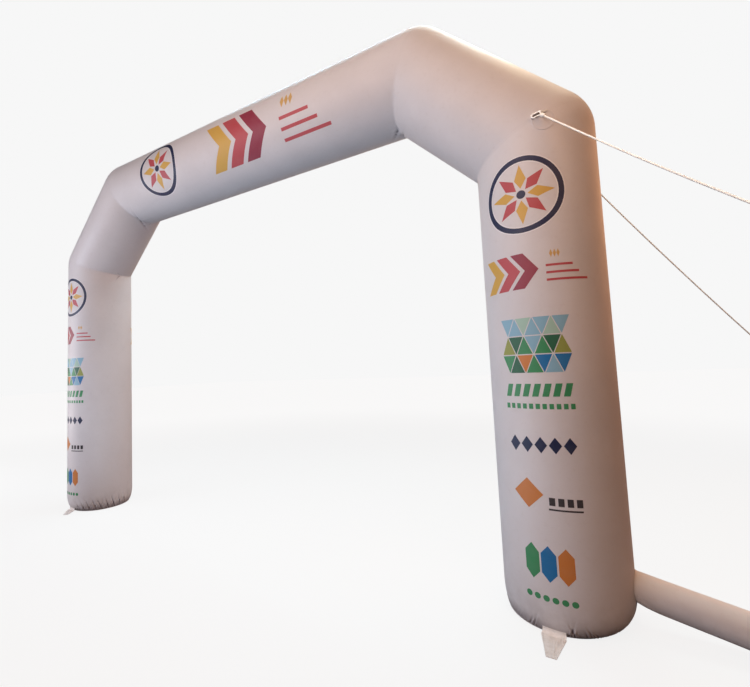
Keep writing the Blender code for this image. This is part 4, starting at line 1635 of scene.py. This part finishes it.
def rope_finish(name):
    """Cream laid cord: fine fibres run along the strands, with painted shade in the grooves between
    them.
    """
    nodes = material_nodes(name)
    u, v, _ = nodes.split(nodes.uv())
    round_it = nodes.math("MULTIPLY", u, 1 / ROPE_RADIUS)
    lay = nodes.math("MULTIPLY", v, math.tau / ROPE_LAY)
    strand_turn = nodes.math("MULTIPLY", nodes.math("SUBTRACT", round_it, lay), 1.5)
    strand = nodes.math("ABSOLUTE", nodes.math("COSINE", strand_turn))
    fibre_turn = nodes.math("ADD", round_it, nodes.math("MULTIPLY", lay, 2.0))
    fibre = nodes.math("SINE", nodes.math("MULTIPLY", fibre_turn, 9.0))
    place = nodes.place()
    soil = nodes.noise(place, 60.0, 5.0, 0.6)
    clean, soiled = colour(0.95, 0.92, 0.87), colour(0.88, 0.82, 0.74)
    tone = nodes.mix(nodes.between(soil, 0.35, 0.75), clean, soiled)
    # Painted shade: the grooves between the strands are darker.
    tone = nodes.mix(nodes.between(strand, 0.0, 0.35, 0.22, 0.0), tone, colour(0.52, 0.43, 0.35))
    bump = nodes.bump(fibre, 0.4, 0.0003, nodes.bump(soil, 0.3, 0.0005))
    return nodes.finish(
        Base_Color=tone, Roughness=0.78, Normal=bump, Sheen_Weight=0.25, Specular_IOR_Level=0.25
    )


def ring_finish(name):
    """White coated wire, chipped and grubby in places."""
    nodes = material_nodes(name)
    place = nodes.place()
    chips = nodes.noise(place, 160.0, 5.0, 0.65)
    film = nodes.noise(place, 45.0, 4.0, 0.6)
    clean, grubby = colour(0.97, 0.97, 0.96), colour(0.78, 0.72, 0.66)
    tone = nodes.mix(nodes.between(film, 0.4, 0.75, 0.0, 0.12), clean, grubby)
    tone = nodes.mix(nodes.between(chips, 0.74, 0.78), tone, colour(0.28, 0.20, 0.15))
    rough = nodes.between(film, 0.2, 0.8, 0.25, 0.45)
    bump = nodes.bump(chips, 0.3, 0.0004)
    return nodes.finish(Base_Color=tone, Roughness=rough, Normal=bump, Specular_IOR_Level=0.5)


INKS = {
    "navy": (0.022, 0.030, 0.085),
    "yellow": (0.74, 0.45, 0.10),
    "red": (0.56, 0.095, 0.11),
    "wine": (0.34, 0.050, 0.085),
    "gold": (0.72, 0.45, 0.16),
    "sky": (0.28, 0.52, 0.66),
    "mint": (0.42, 0.62, 0.52),
    "olive": (0.34, 0.38, 0.09),
    "forest": (0.03, 0.15, 0.08),
    "green": (0.06, 0.31, 0.13),
    "blue": (0.02, 0.19, 0.46),
    "orange": (0.68, 0.24, 0.06),
    "charcoal": (0.055, 0.050, 0.055),
    "white": (0.93, 0.91, 0.92),
}


# ---------------------------------------------------------------- floor, light and camera


def add_floor():
    """A pale floor. The camera sees it as bright as the backdrop it fades into."""
    mesh = bpy.data.meshes.new("floor")
    bm = bmesh.new()
    bmesh.ops.create_grid(bm, x_segments=1, y_segments=1, size=FLOOR_SIZE)
    bm.to_mesh(mesh)
    bm.free()
    nodes = material_nodes("floor")
    mesh.materials.append(nodes.finish(Base_Color=colour(*FLOOR_TONE), Roughness=0.9))
    flat = {0: nodes.place(), 1: (1, 1, 0)}
    level = nodes.add("ShaderNodeVectorMath", flat, operation="MULTIPLY")
    away = nodes.add("ShaderNodeVectorMath", {0: level}, 1, operation="LENGTH")
    strength = nodes.between(away, *FLOOR_GLOW_REACH, *FLOOR_GLOWS)
    glow = nodes.add("ShaderNodeEmission", {"Strength": strength})
    matt = nodes.add("ShaderNodeBsdfDiffuse", {"Color": colour(*FLOOR_SEEN_TONE)})
    seen = nodes.add("ShaderNodeAddShader", {0: matt, 1: glow})
    lit = nodes.tree.nodes["Principled BSDF"].outputs[0]
    nodes.camera_sees(seen, lit, "Material Output")
    floor = link(bpy.data.objects.new("floor", mesh))


def add_light(name, place, towards, size, power, tint):
    data = bpy.data.lights.new(name, "AREA")
    data.shape = "RECTANGLE"
    data.size, data.size_y = size
    data.energy = power
    data.color = tint
    light = link(bpy.data.objects.new(name, data))
    light.location = place
    light.rotation_euler = (Vector(towards) - Vector(place)).to_track_quat("-Z", "Y").to_euler()
    light.visible_camera = False
    return light


def add_lights():
    for row in LIGHTS:
        add_light(*row)
    fittings = bpy.data.collections.new("fittings")
    for obj in bpy.context.scene.objects:
        if obj.name.startswith(FITTINGS):
            fittings.objects.link(obj)
    add_light(*FITTINGS_LIGHT).light_linking.receiver_collection = fittings


def add_room():
    """The room glows on the arch, and the camera sees a plain pale backdrop."""
    world = bpy.data.worlds.new("studio")
    bpy.context.scene.world = world
    nodes = Nodes(world)
    direction = nodes.add("ShaderNodeTexCoord", {}, "Generated")
    level = math.cos(ROOM_GLOW_HEIGHT)
    glows = []
    for azimuth, tone in ROOM_GLOWS:
        turn = math.radians(azimuth)
        middle = (level * math.cos(turn), level * math.sin(turn), math.sin(ROOM_GLOW_HEIGHT))
        facing = nodes.add(
            "ShaderNodeVectorMath", {0: direction, 1: middle}, "Value", operation="DOT_PRODUCT"
        )
        strength = nodes.math("POWER", nodes.math("MAXIMUM", facing, 0.0), ROOM_GLOW_SHARPNESS)
        inputs = {"Color": colour(*tone), "Strength": strength}
        glows.append(nodes.add("ShaderNodeBackground", inputs))
    lit = nodes.add("ShaderNodeAddShader", dict(enumerate(glows)))
    seen = nodes.add("ShaderNodeBackground", {"Color": colour(*BACKDROP_TONE)})
    nodes.camera_sees(seen, lit, "World Output")


def add_camera():
    turn, rise, roll = CAMERA_TURN, CAMERA_RISE, CAMERA_ROLL
    ahead = Vector(
        (-math.sin(turn) * math.cos(rise), math.cos(turn) * math.cos(rise), math.sin(rise))
    )
    level = Vector((math.cos(turn), math.sin(turn), 0))
    above = level.cross(ahead)
    right = level * math.cos(roll) + above * math.sin(roll)
    up = above * math.cos(roll) - level * math.sin(roll)
    data = bpy.data.cameras.new("camera")
    data.lens = CAMERA_LENS
    data.sensor_width = 36
    data.shift_x, data.shift_y = CAMERA_SHIFT
    camera = link(bpy.data.objects.new("camera", data))
    place = Matrix((right, up, -ahead)).transposed().to_4x4()
    place.translation = RIGHT_FOOT + CAMERA_FROM_FOOT
    camera.matrix_world = place
    bpy.context.scene.camera = camera
    bpy.context.scene.view_settings.view_transform = "Standard"


def main():
    cloth, worn_cloth = colour(0.80, 0.77, 0.78), colour(0.75, 0.72, 0.73)
    # The patch's fold colour is a painted shade: near-black brown in the ring's opening.
    painted_slot_shade = (0.10, 0.06, 0.045)
    finishes = {
        "fabric": coated_fabric("coated_fabric", cloth, worn_cloth, 0.35),
        "flange": coated_fabric("base_cloth", colour(0.84, 0.82, 0.83), colour(0.76, 0.73, 0.74), 0.15),
        "patch": coated_fabric("patch_cloth", cloth, worn_cloth, 0.0, painted_slot_shade, 0.92),
        "tab": webbing_finish("tab_cloth", colour(0.83, 0.80, 0.79), colour(0.74, 0.70, 0.68), 0.0016),
        "webbing": webbing_finish("webbing", colour(0.92, 0.90, 0.88), colour(0.86, 0.82, 0.78), 0.0024),
        "ring": ring_finish("ring"),
        "rope": rope_finish("rope"),
    }
    inks = {name: ink(name, colour(*tone)) for name, tone in INKS.items()}
    tubes = add_tubes(finishes["fabric"])
    add_all_prints(inks)
    add_base("leg_right", "base_right", RIGHT_FOOT, finishes["flange"])
    add_base("leg_left", "base_left", LEFT_FOOT, finishes["flange"])
    for row in TABS:
        add_tab(*row, finishes["tab"])
    add_sleeve(finishes["fabric"])
    add_guy_points(tubes, finishes)
    add_floor()
    add_lights()
    add_room()
    add_camera()


main()
